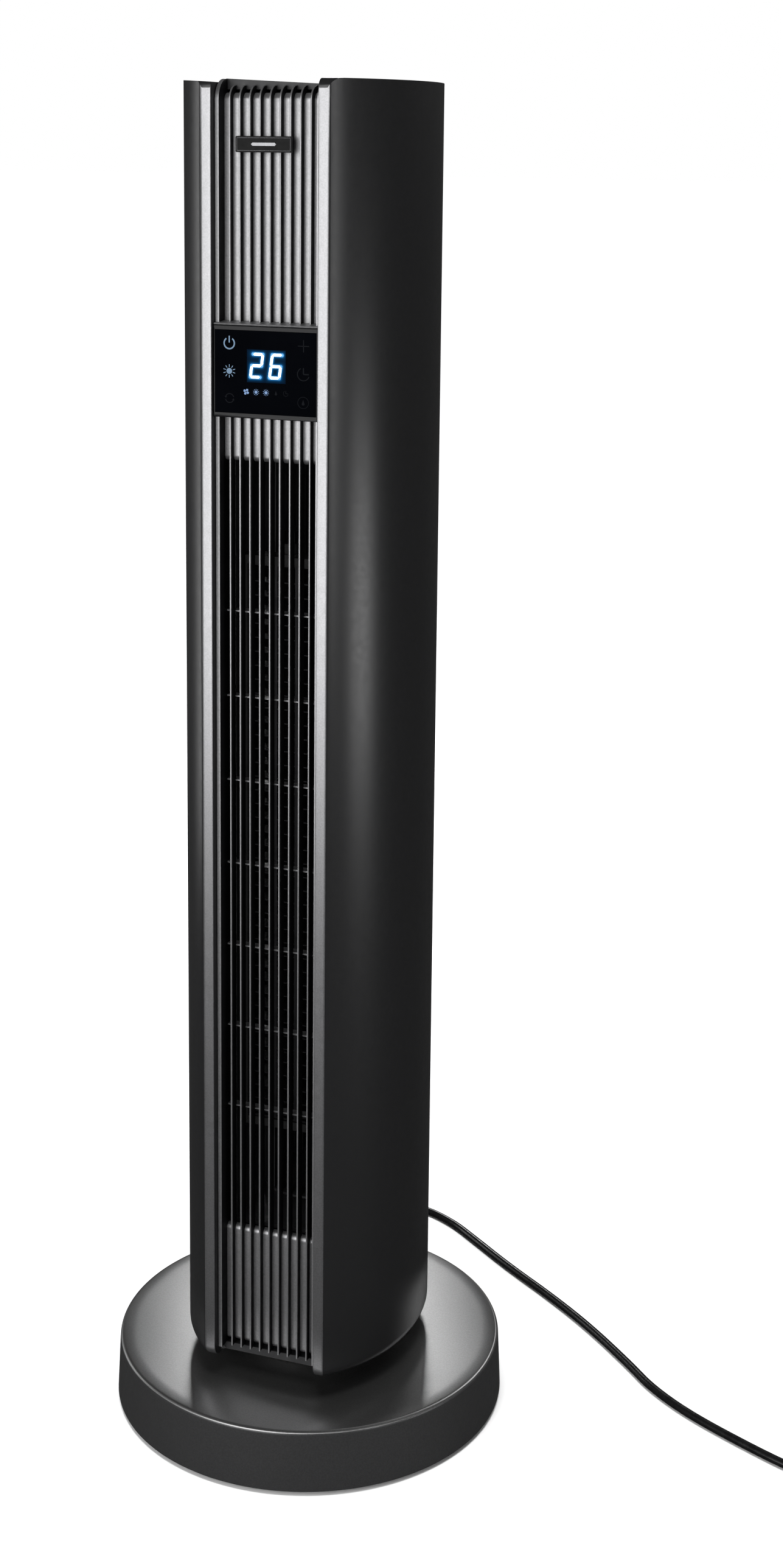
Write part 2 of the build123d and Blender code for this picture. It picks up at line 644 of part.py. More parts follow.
def motor_stator():
    low = MOTOR_BOTTOM_Z + STACK_LOW
    body = tube(MOTOR_RADIUS - 2, STACK_HEIGHT, low, STATOR_BORE)
    for x, y in ring_points(6, STATOR_BORE + 5):
        body -= tube(2.6, STACK_HEIGHT + 2, low - 1, x=x, y=y)
    return Pos(0, BLOWER_Y, 0) * body


def motor_rotor():
    low = MOTOR_BOTTOM_Z + STACK_LOW
    return tube(STATOR_BORE - ROTOR_GAP, STACK_HEIGHT, low, SHAFT_RADIUS, y=BLOWER_Y)


def motor_mounts():
    """Rubber bushes between the motor ears and the deck."""
    places = ring_points(4, MOTOR_RADIUS + 6, 45)
    return group([
        tube(4.5, MOTOR_DROP, MOTOR_TOP_Z, THREAD_RADIUS, x=x, y=y + BLOWER_Y) for x, y in places
    ])


def motor_screws():
    places = ring_points(4, MOTOR_RADIUS + 6, 45)
    top = LOWER_DECK_Z + DECK_THICKNESS
    length = MOTOR_DROP + DECK_THICKNESS + 4
    return group([Pos(x, y + BLOWER_Y, top) * screw(length) for x, y in places])


def deck_screws():
    screws = []
    for z in (LOWER_DECK_Z, UPPER_DECK_Z):
        for side in (-1, 1):
            for y in (-BOSS_Y, BOSS_Y):
                screws.append(Pos(side * boss_x(), y, z + DECK_THICKNESS) * screw(12))
    return group(screws)


def rear_cover_screws():
    y = COLUMN_FLAT_Y - 0.6
    return group([Pos(x, y, z) * Rot(-90, 0, 0) * screw(10) for x, z in rear_screw_places()])


def rear_screw_posts():
    """Posts that take the rear cover's screws, on the inside of the panel returns."""
    posts = []
    y_out = COLUMN_FLAT_Y - 0.6 - WALL - FIT_GAP
    for x, z in rear_screw_places():
        post = Pos(x, y_out - 8, z) * Rot(90, 0, 0) * Cylinder(3.2, 16)
        posts.append(post - Pos(x, y_out, z) * Rot(90, 0, 0) * Cylinder(THREAD_RADIUS, 24))
    return posts


# ------------------------------------------------------------------ heater
def heater_frame():
    """Moulded frame in the outlet, in front of the wheel."""
    half = HEATER_WIDTH / 2 + 3.5
    y_from, y_to = HEATER_Y - HEATER_DEPTH / 2 - 2, HEATER_Y + HEATER_DEPTH / 2
    low, high = HEATER_BOTTOM_Z - 4, HEATER_TOP_Z + 4
    frame = block((-half, y_from, low), (half, y_to, high))
    inner = HEATER_WIDTH / 2
    frame -= block((-inner, y_from + 2, HEATER_BOTTOM_Z), (inner, y_to + 1, HEATER_TOP_Z))
    low = (-inner + 2, y_from - 1, HEATER_BOTTOM_Z + 2)
    return frame - block(low, (inner - 2, y_to, HEATER_TOP_Z - 2))


def heater_core():
    """Ceramic bars with thin aluminium fins between them."""
    half = HEATER_WIDTH / 2 - 0.2
    y_from, y_to = HEATER_Y - HEATER_DEPTH / 2 + 0.2, HEATER_Y + HEATER_DEPTH / 2
    low, high = HEATER_BOTTOM_Z + 0.2, HEATER_TOP_Z - 0.2
    bar = 5.0
    core = block((-half, y_from, low), (half, y_to, low + 3))
    core += block((-half, y_from, high - 3), (half, y_to, high))
    for i in range(4):
        x = -half + i * (2 * half - bar) / 3
        core += block((x, y_from, low), (x + bar, y_to, high))
    count = int((high - low) / HEATER_FIN_PITCH)
    levels = [low + (i + 0.5) * HEATER_FIN_PITCH for i in range(count)]
    fins = [block((-half, y_from, z), (half, y_to, z + HEATER_FIN_THICKNESS)) for z in levels]
    return core + fins


def thermal_cutout():
    """Round thermostat on the head of the heater frame."""
    z = HEATER_TOP_Z + 4
    body = tube(7, 9, z, y=HEATER_Y) + tube(9, 2, z, y=HEATER_Y)
    for x in (-4, 4):
        body += block((x - 0.4, HEATER_Y - 2.5, z + 9), (x + 0.4, HEATER_Y + 2.5, z + 17))
    return body


# ------------------------------------------------------------------ electronics
MAIN_BOARD_Y = 24.0


def main_board():
    low = UPPER_DECK_Z + DECK_THICKNESS + 12
    board = block((-56, MAIN_BOARD_Y, low), (56, MAIN_BOARD_Y + 1.6, low + 160))
    for x in (-51, 51):
        for z in (low + 5, low + 155):
            board -= Pos(x, MAIN_BOARD_Y, z) * Rot(90, 0, 0) * Cylinder(1.7, 10)
    return board


def board_rails():
    """Two uprights on the upper deck that hold the main board."""
    low = UPPER_DECK_Z + DECK_THICKNESS
    rails = []
    for side in (-1, 1):
        x_low, x_high = sorted((side * 47.0, side * 58.0))
        rail = block((x_low, MAIN_BOARD_Y + 1.6, low), (x_high, MAIN_BOARD_Y + 9, low + 176))
        foot = block((x_low, MAIN_BOARD_Y - 8, low), (x_high, MAIN_BOARD_Y + 9, low + 4))
        rails.append(rail + foot)
    return group(rails)


def board_components():
    """Relays, capacitors, the terminal row and the heat sink."""
    y = MAIN_BOARD_Y
    low = UPPER_DECK_Z + DECK_THICKNESS + 12
    pieces = [block((-40 + i * 24, y - 16, low + 120), (-22 + i * 24, y, low + 146)) for i in range(3)]
    pieces.append(block((-44, y - 12, low + 8), (44, y, low + 22)))
    for x in (-30, -8):
        pieces.append(Pos(x, y - 11, low + 80) * Rot(90, 0, 0) * Cylinder(9, 22))
    sink = block((14, y - 20, low + 50), (46, y, low + 100))
    for i in range(5):
        x = 17 + i * 6.0
        sink -= block((x, y - 21, low + 49), (x + 3.4, y - 4, low + 101))
    pieces.append(sink)
    return group(pieces)


# ------------------------------------------------------------------ column foot and swivel
def column_foot():
    """Bottom plate of the column with the neck and the hub that turns in the base."""
    plate_low = COLUMN_BOTTOM_Z + 0.2
    plate_height = FOOT_FLANGE_Z + FOOT_FLANGE - plate_low
    foot = Pos(0, 0, plate_low) * extrude(plan(FLANGE_INSET + FIT_GAP), plate_height)
    ledge = plan(FOOT_LEDGE_INSET) - Rectangle(2 * CHANNEL_HALF_WIDTH + 2 * WALL + 1, 400)
    foot += Pos(0, 0, FOOT_FLANGE_Z) * extrude(ledge, FOOT_FLANGE)
    for x, y in foot_screw_places():
        foot -= tube(THREAD_RADIUS + 0.2, 3 * FOOT_FLANGE, FOOT_FLANGE_Z - FOOT_FLANGE, x=x, y=y)
    foot += tube(NECK_RADIUS, plate_low - NECK_BOTTOM_Z + 1, NECK_BOTTOM_Z, NECK_RADIUS - 3)
    foot += tube(NECK_RADIUS, 3.5, NECK_BOTTOM_Z, HUB_RADIUS - HUB_WALL)
    foot += tube(HUB_RADIUS, NECK_BOTTOM_Z + 3.5 - HUB_BOTTOM_Z, HUB_BOTTOM_Z, HUB_RADIUS - HUB_WALL)
    foot -= tube(HUB_RADIUS - HUB_WALL, 80, HUB_BOTTOM_Z - 1)
    for x, y in ring_points(4, HUB_RADIUS - HUB_WALL / 2, 45):
        foot -= tube(THREAD_RADIUS, 14, HUB_BOTTOM_Z - 1, x=x, y=y)
    return foot


def foot_screws():
    top = FOOT_FLANGE_Z + FOOT_FLANGE
    return group([Pos(x, y, top) * screw(FOOT_FLANGE + WALL - 0.3) for x, y in foot_screw_places()])


def swivel_bush():
    """Plastic bush in the base for the hub."""
    bore = HUB_RADIUS + RUNNING_CLEARANCE
    return tube(HUB_RADIUS + BUSH_WALL, BUSH_LENGTH, BUSH_BOTTOM_Z, bore)


def thrust_washer():
    """Slippery washer that carries the weight of the column."""
    return tube(NECK_RADIUS - 3, NECK_GAP - 0.1, BASE_TOP_Z, HUB_RADIUS + BUSH_WALL + 1)


def involute_point(base_radius, radius, offset):
    """Point of an involute flank at a radius, turned by an angle."""
    roll = sqrt(max((radius / base_radius) ** 2 - 1, 0.0))
    angle = roll - atan_of(roll) + offset
    return (radius * cos(angle), radius * sin(angle))


def atan_of(value):
    """Arc tangent from the vector angle, in radians."""
    return radians(Vector(1, 0, 0).get_angle(Vector(1, value, 0)))


def gear_blank(teeth, bore, thickness):
    """Spur gear with involute flanks, a tooth centred on +X, lying on z = 0."""
    pitch = GEAR_MODULE * teeth / 2
    base = pitch * cos(radians(20))
    tip = pitch + GEAR_MODULE * 0.95
    root = pitch - GEAR_MODULE * 1.25
    start = max(base, root)
    roll = tan(radians(20))
    half_tooth = (pi * GEAR_MODULE / 2 - GEAR_BACKLASH) / 2 / pitch
    shift = half_tooth + roll - radians(20)
    radii = [start + (tip - start) * i / 4 for i in range(5)]
    upper = [(root * cos(shift), root * sin(shift))] if root < start else []
    for radius in radii:
        point = involute_point(base, radius, 0.0)
        angle = shift - atan_of(point[1] / point[0])
        upper.append((radius * cos(angle), radius * sin(angle)))
    lower = [(x, -y) for x, y in reversed(upper)]
    depth = root - 1
    inside = [(depth * cos(shift), -depth * sin(shift)), (depth * cos(shift), depth * sin(shift))]
    tooth = make_face(Polyline(*upper, *lower, *inside, close=True))
    outline = Circle(root) + [Rot(0, 0, 360 * i / teeth) * tooth for i in range(teeth)]
    return extrude(outline - Circle(bore), thickness)


def swivel_gear():
    """Gear on the hub under the base cover; it also keeps the column from lifting out."""
    gear = gear_blank(SWIVEL_TEETH, HUB_RADIUS, GEAR_THICKNESS)
    gear += tube(HUB_RADIUS + 3, 2.0, -2.0, HUB_RADIUS - HUB_WALL)
    for x, y in ring_points(4, HUB_RADIUS - HUB_WALL / 2, 45):
        gear -= tube(THREAD_RADIUS + 0.2, 6, -3, x=x, y=y)
    return Pos(0, 0, GEAR_BOTTOM_Z) * gear


def gear_screws():
    places = ring_points(4, HUB_RADIUS - HUB_WALL / 2, 45)
    return group([Pos(x, y, GEAR_BOTTOM_Z - 2.0) * Rot(180, 0, 0) * screw(10) for x, y in places])


def drive_pinion():
    """Pinion of the oscillation motor, in mesh with the swivel gear."""
    turn = 180 + 180 / PINION_TEETH
    gear = Rot(0, 0, turn) * gear_blank(PINION_TEETH, PINION_SHAFT_RADIUS, GEAR_THICKNESS)
    return Pos(GEAR_CENTRES, 0, GEAR_BOTTOM_Z) * gear


OSCILLATION_MOTOR_TOP_Z = GEAR_BOTTOM_Z - 1.0


def pinion_shaft():
    low = PLATE_TOP_Z + 6
    return tube(PINION_SHAFT_RADIUS, GEAR_TOP_Z + 2 - low, low, x=GEAR_CENTRES)


def oscillation_motor():
    """Small synchronous motor under the pinion, with two mounting ears."""
    height = OSCILLATION_MOTOR_TOP_Z - PLATE_TOP_Z
    body = tube(OSCILLATION_MOTOR_RADIUS, height, PLATE_TOP_Z, x=GEAR_CENTRES)
    ear = block((-3.5, -OSCILLATION_MOTOR_RADIUS - 8, 0), (3.5, OSCILLATION_MOTOR_RADIUS + 8, 1.2))
    body += Pos(GEAR_CENTRES, 0, PLATE_TOP_Z) * ear
    for side in (-1, 1):
        y = side * (OSCILLATION_MOTOR_RADIUS + 4.5)
        body -= tube(THREAD_RADIUS, 4, PLATE_TOP_Z - 1, x=GEAR_CENTRES, y=y)
    bore = PINION_SHAFT_RADIUS + RUNNING_CLEARANCE
    return body - tube(bore, height, PLATE_TOP_Z + 5, x=GEAR_CENTRES)


# ------------------------------------------------------------------ base
def cover_radius(z):
    """Outer radius of the base cover at a height, along its drafted side."""
    share = (z - FOOT_HEIGHT) / (BASE_TOP_Z - FOOT_HEIGHT)
    return BASE_FOOT_RADIUS + share * (BASE_RIM_RADIUS - BASE_FOOT_RADIUS)


def exit_frame(z=CORD_EXIT_Z):
    """Rotation and place of the cord exit: local +X points out of the base."""
    return Rot(0, 0, CORD_EXIT_ANGLE) * Pos(cover_radius(z), 0, z) * Rot(0, 90, 0)


def base_cover():
    """Round cover with a drafted side, a central boss for the bush and screw bosses."""
    low, top = FOOT_HEIGHT, BASE_TOP_Z
    bush_radius = HUB_RADIUS + BUSH_WALL
    outer = turned([(0, low), (BASE_FOOT_RADIUS, low), (BASE_RIM_RADIUS, top), (0, top)])
    outer = fillet(outer.edges().group_by(Axis.Z)[-1], BASE_RIM_FILLET)
    inner_low, inner_top = cover_radius(low) - WALL, cover_radius(top) - WALL
    cavity = turned([
        (0, low - 1), (inner_low, low - 1), (inner_low, low),
        (inner_top, BASE_INNER_TOP_Z), (0, BASE_INNER_TOP_Z),
    ])
    cover = outer - cavity
    cover += tube(bush_radius + 6, BASE_INNER_TOP_Z - BUSH_BOTTOM_Z + 0.5, BUSH_BOTTOM_Z)
    cover -= tube(bush_radius, 60, 10)
    for x, y in ring_points(FOOT_COUNT, BASE_SCREW_CIRCLE, 18):
        cover += tube(5, BASE_INNER_TOP_Z - PLATE_TOP_Z + 0.5, PLATE_TOP_Z, x=x, y=y)
        cover -= tube(THREAD_RADIUS, 14, PLATE_TOP_Z - 1, x=x, y=y)
    for angle in range(0, 360, 30):
        rib_low = (bush_radius + 5.5, -0.8, BASE_INNER_TOP_Z - 5)
        rib = block(rib_low, (BASE_RIM_RADIUS - 4, 0.8, BASE_INNER_TOP_Z + 0.5))
        cover += Rot(0, 0, angle + 9) * rib
    return cover - exit_frame() * Cylinder(RELIEF_ROOT_RADIUS, 30)


def switch_place():
    return ring_points(1, SWITCH_CIRCLE, SWITCH_ANGLE)[0]


def bottom_plate():
    """Plate that closes the base from below."""
    plate = tube(BASE_FOOT_RADIUS - WALL - FIT_GAP, PLATE_THICKNESS, FOOT_HEIGHT)
    for x, y in ring_points(FOOT_COUNT, BASE_SCREW_CIRCLE, 18):
        plate -= tube(THREAD_RADIUS + 0.2, 10, 0, x=x, y=y)
    for x, y in ring_points(FOOT_COUNT, FOOT_CIRCLE, 54):
        plate -= tube(3.0, 10, 0, x=x, y=y)
    for side in (-1, 1):
        plate -= tube(THREAD_RADIUS, 10, 0, x=GEAR_CENTRES, y=side * (OSCILLATION_MOTOR_RADIUS + 4.5))
    x, y = switch_place()
    plate -= tube(PLUNGER_RADIUS + 0.3, 10, 0, x=x, y=y)
    for i in range(5):
        plate -= block((-30, -24 + 12 * i - 1.5, 0), (30, -24 + 12 * i + 1.5, 10))
    return plate


def rubber_feet():
    feet = []
    for x, y in ring_points(FOOT_COUNT, FOOT_CIRCLE, 54):
        pad = fillet(tube(FOOT_RADIUS, FOOT_HEIGHT, 0).edges().group_by(Axis.Z)[0], 0.8)
        stem = tube(3.0, PLATE_THICKNESS + 2, FOOT_HEIGHT) + tube(4.0, 1.5, PLATE_TOP_Z + 0.1)
        feet.append(Pos(x, y, 0) * (pad + stem))
    return group(feet)


def base_screws():
    places = ring_points(FOOT_COUNT, BASE_SCREW_CIRCLE, 18)
    return group([Pos(x, y, FOOT_HEIGHT) * Rot(180, 0, 0) * screw(12, THREAD_RADIUS) for x, y in places])


def motor_fixings():
    screws = []
    for side in (-1, 1):
        place = Pos(GEAR_CENTRES, side * (OSCILLATION_MOTOR_RADIUS + 4.5), PLATE_TOP_Z + 1.2)
        screws.append(place * screw(3.6))
    return group(screws)


def ballast_ring():
    """Cast weight on the bottom plate, notched where the lead comes in."""
    ring = tube(BALLAST_OUTER, BALLAST_HEIGHT, PLATE_TOP_Z, BALLAST_INNER)
    ring = chamfer(ring.edges().group_by(Axis.Z)[-1], 1.5)
    return ring


def tilt_switch():
    """Switch box over the plunger."""
    x, y = switch_place()
    low = PLATE_TOP_Z
    body = block((x - 14, y - 8, low), (x + 14, y + 8, low + 18))
    body = chamfer(body.edges().group_by(Axis.Z)[-1], 1.0)
    return body - tube(PLUNGER_RADIUS + 0.3, 12, low - 1, x=x, y=y)


def switch_plunger():
    """Pin through the bottom plate, pushed in by the floor."""
    x, y = switch_place()
    pin = tube(PLUNGER_RADIUS, PLATE_TOP_Z + 3 - PLUNGER_TIP_Z, PLUNGER_TIP_Z, x=x, y=y)
    return fillet(pin.edges().group_by(Axis.Z)[0], 1.5)


def cord_clamp():
    """Clamp bar over the lead, just inside the base."""
    place = Rot(0, 0, CORD_EXIT_ANGLE) * Pos(BASE_RIM_RADIUS - 16, 0, PLATE_TOP_Z)
    body = block((-4.5, -13, 0), (4.5, 13, 14))
    body -= Pos(0, 0, CORD_EXIT_Z - PLATE_TOP_Z) * Rot(0, 90, 0) * Cylinder(CORD_DIAMETER / 2 + 0.1, 20)
    for y in (-9.5, 9.5):
        body -= tube(THREAD_RADIUS, 20, -1, y=y)
    return place * body


def clamp_screws():
    place = Rot(0, 0, CORD_EXIT_ANGLE) * Pos(BASE_RIM_RADIUS - 16, 0, PLATE_TOP_Z + 14)
    return group([place * Pos(0, y, 0) * screw(12) for y in (-9.5, 9.5)])


# ------------------------------------------------------------------ mains lead
def strain_relief():
    """Tapered boot with grooves; its root is held in the wall of the base."""
    inside = 8.0
    boot = Pos(0, 0, -inside / 2 + 1) * Cylinder(RELIEF_ROOT_RADIUS - 0.1, inside + 2)
    boot += Pos(0, 0, -inside + 1.5) * Cylinder(RELIEF_ROOT_RADIUS + 2, 3)
    shoulder = RELIEF_ROOT_RADIUS + 1.5
    wall_gap = 0.5
    length = RELIEF_LENGTH - wall_gap
    boot += Pos(0, 0, wall_gap + length / 2) * Cone(shoulder, RELIEF_TIP_RADIUS, length)
    for i in range(5):
        z = 8 + i * 4.6
        radius = shoulder - (shoulder - RELIEF_TIP_RADIUS) * z / RELIEF_LENGTH
        boot -= Pos(0, 0, z) * (Cylinder(radius + 2, 1.8) - Cylinder(radius - 1.0, 1.8))
    return exit_frame() * boot


def cord_start():
    """Tip of the strain relief, where the lead begins."""
    tip = (exit_frame() * Pos(0, 0, RELIEF_LENGTH)).position
    return (tip.X, tip.Y, tip.Z)


def corner_radii(points):
    """Radius of each corner's arc: 0.45 of the shorter run over the tangent of half the turn."""
    radii = []
    for a, b, c in zip(points, points[1:], points[2:]):
        before, after = Vector(*b) - Vector(*a), Vector(*c) - Vector(*b)
        turn = radians(before.get_angle(after))
        radii.append(0.45 * min(before.length, after.length) / tan(turn / 2))
    return radii


def cord_tube(name, points):
    """Round tube along straight runs joined by tangent arcs."""
    radii = corner_radii(points)
    path = FilletPolyline(*points, radius=radii)
    section = Plane(origin=path @ 0, z_dir=path % 0) * Circle(CORD_DIAMETER / 2)
    body = sweep(section, path=path)
    expected = pi * CORD_DIAMETER ** 2 / 4 * path.length
    print(name, "length", round(path.length, 1), "volume share", round(body.volume / expected, 4))
    print(name, "radii", [round(r, 1) for r in radii])
    return body


def cord_coil():
    """Outer shape of the wound lead."""
    low = TIE_THICKNESS + 0.1
    section = Pos(COIL_RADIUS, low + COIL_HEIGHT / 2) * RectangleRounded(COIL_WIDTH, COIL_HEIGHT, 3.0)
    ring = revolve(Plane.XZ * section, Axis.Z)
    return Pos(*COIL_CENTRE, 0) * ring


def cord_tie():
    """Strap round the coil on its far side."""
    width, height = COIL_WIDTH + 2.2, COIL_HEIGHT + 0.2
    outer = RectangleRounded(width + 2 * TIE_THICKNESS, height + 2 * TIE_THICKNESS, 2.0)
    band = extrude(Plane.XZ * (outer - Rectangle(width, height)), TIE_WIDTH / 2, both=True)
    middle = TIE_THICKNESS + height / 2
    return Pos(*COIL_CENTRE, middle) * Rot(0, 0, 60) * Pos(COIL_RADIUS, 0, 0) * band


def mains_plug():
    """Angled two-pin plug lying on its back, pins up."""
    end = Vector(*TAIL_ROUTE[-1])
    heading = Vector(end.X - TAIL_ROUTE[-2][0], end.Y - TAIL_ROUTE[-2][1], 0).normalized()
    boot = 16.0
    centre = end + heading * (boot + PLUG_RADIUS - 2)
    body = tube(PLUG_RADIUS, PLUG_HEIGHT, 0)
    body = fillet(body.edges().group_by(Axis.Z)[0], 3.0)
    body = fillet(body.edges().group_by(Axis.Z)[-1], 1.0)
    for side in (-1, 1):
        x = side * PLUG_PIN_SPACING / 2
        pin = tube(PLUG_PIN_RADIUS, PLUG_PIN_LENGTH, PLUG_HEIGHT - 1, y=x)
        body += fillet(pin.edges().group_by(Axis.Z)[-1], 1.2)
        body -= block((side * 19 - 2.5, -2.5, PLUG_HEIGHT - 8), (side * 19 + 2.5, 2.5, PLUG_HEIGHT + 1))
    neck = Pos(-PLUG_RADIUS - boot / 2 + 3, 0, end.Z) * Rot(0, 90, 0) * Cone(4.2, 7.0, boot + 2)
    body += neck & block((-60, -20, 0), (0, 20, PLUG_HEIGHT))
    turn = Vector(1, 0, 0).get_signed_angle(heading, Vector(0, 0, 1))
    plug = Pos(centre.X, centre.Y, 0) * Rot(0, 0, turn) * body
    return plug


# ------------------------------------------------------------------ assembly
def build():
    left, right = side_panel(-1), side_panel(1)
    for post in rear_screw_posts():
        bridge = post.bounding_box()
        side = 1 if bridge.center().X > 0 else -1
        x_low, x_high = sorted((bridge.center().X, side * (CHANNEL_HALF_WIDTH + 1)))
        z = bridge.center().Z
        web = block((x_low, bridge.min.Y, z - 1.2), (x_high, bridge.min.Y + 4, z + 1.2))
        if side > 0:
            right += post + web
        else:
            left += post + web
    parts["left_side_panel"] = left
    parts["right_side_panel"] = right
    parts["rear_cover"] = rear_cover()
    parts["rear_cover_screws"] = rear_cover_screws()
    parts["dust_filter"] = dust_filter()
    parts["top_cover"] = top_cover()
    parts["front_grille"] = front_grille()
    parts["badge_plate"] = badge_plate()
    parts["display_bezel"] = display_bezel()
    parts["display_glass"] = display_glass()
    parts["display_board"] = display_board()
    parts["digit_module"] = digit_module()
    parts["touch_pads"] = touch_pads()
    parts["lower_deck"] = lower_deck()
    parts["upper_deck"] = upper_deck()
    parts["deck_screws"] = deck_screws()
    parts["upper_bearing"] = upper_bearing()
    parts["scroll_wall"] = scroll_wall()
    parts["tongue_wall"] = tongue_wall()
    parts["blower_wheel"] = blower_wheel()
    parts["wheel_shaft"] = wheel_shaft()
    parts["motor_can"] = motor_can()
    parts["motor_cap"] = motor_cap()
    parts["motor_stator"] = motor_stator()
    parts["motor_rotor"] = motor_rotor()
    parts["motor_mounts"] = motor_mounts()
    parts["motor_screws"] = motor_screws()
    parts["heater_frame"] = heater_frame()
    parts["heater_core"] = heater_core()
    parts["thermal_cutout"] = thermal_cutout()
    parts["main_board"] = main_board()
    parts["board_rails"] = board_rails()
    parts["board_components"] = board_components()
    parts["column_foot"] = column_foot()
    parts["foot_screws"] = foot_screws()
    parts["swivel_bush"] = swivel_bush()
    parts["thrust_washer"] = thrust_washer()
    parts["swivel_gear"] = swivel_gear()
    parts["gear_screws"] = gear_screws()
    parts["drive_pinion"] = drive_pinion()
    parts["pinion_shaft"] = pinion_shaft()
    parts["oscillation_motor"] = oscillation_motor()
    parts["oscillation_motor_screws"] = motor_fixings()
    parts["base_cover"] = base_cover()
    parts["base_bottom_plate"] = bottom_plate()
    parts["rubber_feet"] = rubber_feet()
    parts["base_screws"] = base_screws()
    parts["ballast_ring"] = ballast_ring()
    parts["tilt_switch"] = tilt_switch()
    parts["switch_plunger"] = switch_plunger()
    parts["cord_clamp"] = cord_clamp()
    parts["clamp_screws"] = clamp_screws()
    parts["strain_relief"] = strain_relief()
    parts["power_cord"] = cord_tube("power_cord", [cord_start(), *CORD_POINTS])
    parts["cord_coil"] = cord_coil()
    parts["cord_tail"] = cord_tube("cord_tail", TAIL_ROUTE)
    parts["cord_tie"] = cord_tie()
    parts["mains_plug"] = mains_plug()


build()
os.makedirs("parts", exist_ok=True)
for name, shape in parts.items():
    export_step(shape, f"parts/{name}.step")
print(len(parts), "nodes")
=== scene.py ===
import json
from math import acos, asin, atan2, cos, exp, hypot, pi, radians, sin

import bmesh
import bpy
from mathutils import Matrix, Vector


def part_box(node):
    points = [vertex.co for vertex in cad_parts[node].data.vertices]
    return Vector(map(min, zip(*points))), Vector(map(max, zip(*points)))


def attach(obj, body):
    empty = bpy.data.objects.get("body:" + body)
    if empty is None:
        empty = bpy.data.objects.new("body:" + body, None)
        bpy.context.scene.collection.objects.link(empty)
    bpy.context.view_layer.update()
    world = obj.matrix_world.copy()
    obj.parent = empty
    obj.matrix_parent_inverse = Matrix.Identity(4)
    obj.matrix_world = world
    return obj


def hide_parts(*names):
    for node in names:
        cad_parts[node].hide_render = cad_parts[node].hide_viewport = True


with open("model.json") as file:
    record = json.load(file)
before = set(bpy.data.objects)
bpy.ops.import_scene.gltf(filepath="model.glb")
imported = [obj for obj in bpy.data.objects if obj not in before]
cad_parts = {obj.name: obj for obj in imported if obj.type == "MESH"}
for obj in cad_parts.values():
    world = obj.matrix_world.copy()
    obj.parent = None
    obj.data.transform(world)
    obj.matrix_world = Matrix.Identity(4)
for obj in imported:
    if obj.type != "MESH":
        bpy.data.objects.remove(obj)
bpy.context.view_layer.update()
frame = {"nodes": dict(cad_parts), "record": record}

MM = 0.001
NODES = frame["nodes"]


def span(node):
    """Lowest and highest corner of a CAD node, in millimetres."""
    low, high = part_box(node)
    return low / MM, high / MM


# ------------------------ sizes, from the frame
PANEL_LOW, PANEL_HIGH = span("right_side_panel")
GRILLE_LOW, GRILLE_HIGH = span("front_grille")
BEZEL_LOW, BEZEL_HIGH = span("display_bezel")
GLASS_LOW, GLASS_HIGH = span("display_glass")
BADGE_LOW, BADGE_HIGH = span("badge_plate")
COVER_LOW, COVER_HIGH = span("base_cover")
COIL_LOW, COIL_HIGH = span("cord_coil")

FRONT_Y = PANEL_LOW.y  # front strips
FLAT_Y = PANEL_HIGH.y  # flat back
HALF_WIDTH = PANEL_HIGH.x
HALF_DEPTH = 107.0  # the plan's ellipse, before it is cut flat
FIT_GAP = 0.3  # between the panels and what sits between them
CHANNEL_X = GRILLE_HIGH.x + FIT_GAP  # half of the gap between the panels
TOP_Z = PANEL_HIGH.z
BOTTOM_Z = PANEL_LOW.z
WALL = 2.5
TOP_ROLL = 6.5  # the front and the back roll over into the top
LEFT_TOP_DROP = 2.6  # the left panel's top falls towards the channel
BOTTOM_RADIUS = 9.5
RETURN_DEPTH = 25.0  # the panels turn in by this much beside the channel
FLANGE_INSET = 15.0
SLOT_WIDTH = 4.0
SLOT_PITCH = 7.2
PANEL_SLOTS = 4
SLOT_ROWS = 4
SLOT_ROW_GAP = 10.0
BACK_BLEND_ANGLE = radians(0.21)  # the ellipse stops short of the flat back by this
FRONT_STEPS = 26  # faces round the front half of a panel's side
BACK_STEPS = 14  # faces round its back half, up to the slots

GRILLE_HALF = GRILLE_HIGH.x
GRILLE_BOTTOM_Z = GRILLE_LOW.z
BORDER_WIDTH = 2.9
BORDER_Y = GRILLE_LOW.y
BORDER_BACK_Y = FRONT_Y + 31.0
FIN_COUNT = 9
FIN_PITCH = 7.2
FIN_THICKNESS = 1.2
FIN_Y = FRONT_Y + 10.0
FIN_BACK_Y = FIN_Y + 8.0
FLOOR_Y = FRONT_Y + 15.0
FLOOR_BACK_Y = FLOOR_Y + 4.0
CURVE_Y = FIN_Y + 10.0  # centre of the curve over the top
CURVE_Z = TOP_Z - 14.2
OUTLET_BOTTOM_Z = 158.4
OUTLET_TOP_Z = 712.6
RUNG_COUNT = 7
RUNG_SPACING = 60.0
RUNG_TOP_Z = OUTLET_TOP_Z - 104.0
RUNG_HALF = 0.6
RUNG_NOSE = 0.15  # chamfer on a rung's front edges
RUNG_DEPTH = 6.6

BASE_RADIUS = (COVER_HIGH.x - COVER_LOW.x) / 2
BASE_DRAFT = 2.0  # the side leans in by this from foot to rim

CORD_DIAMETER = 6.2
COIL_CENTRE = Vector(((COIL_LOW.x + COIL_HIGH.x) / 2, (COIL_LOW.y + COIL_HIGH.y) / 2, 0.0))
CORD_EXIT_ANGLE = radians(110.0)
CORD_EXIT_Z = 14.0
RELIEF_LENGTH = 34.0

CAMERA_PLACE = Vector((548.8, -1393.4, 923.8))


def linked(name, data):
    """New object in the scene."""
    made = bpy.data.objects.new(name, data)
    bpy.context.scene.collection.objects.link(made)
    return made


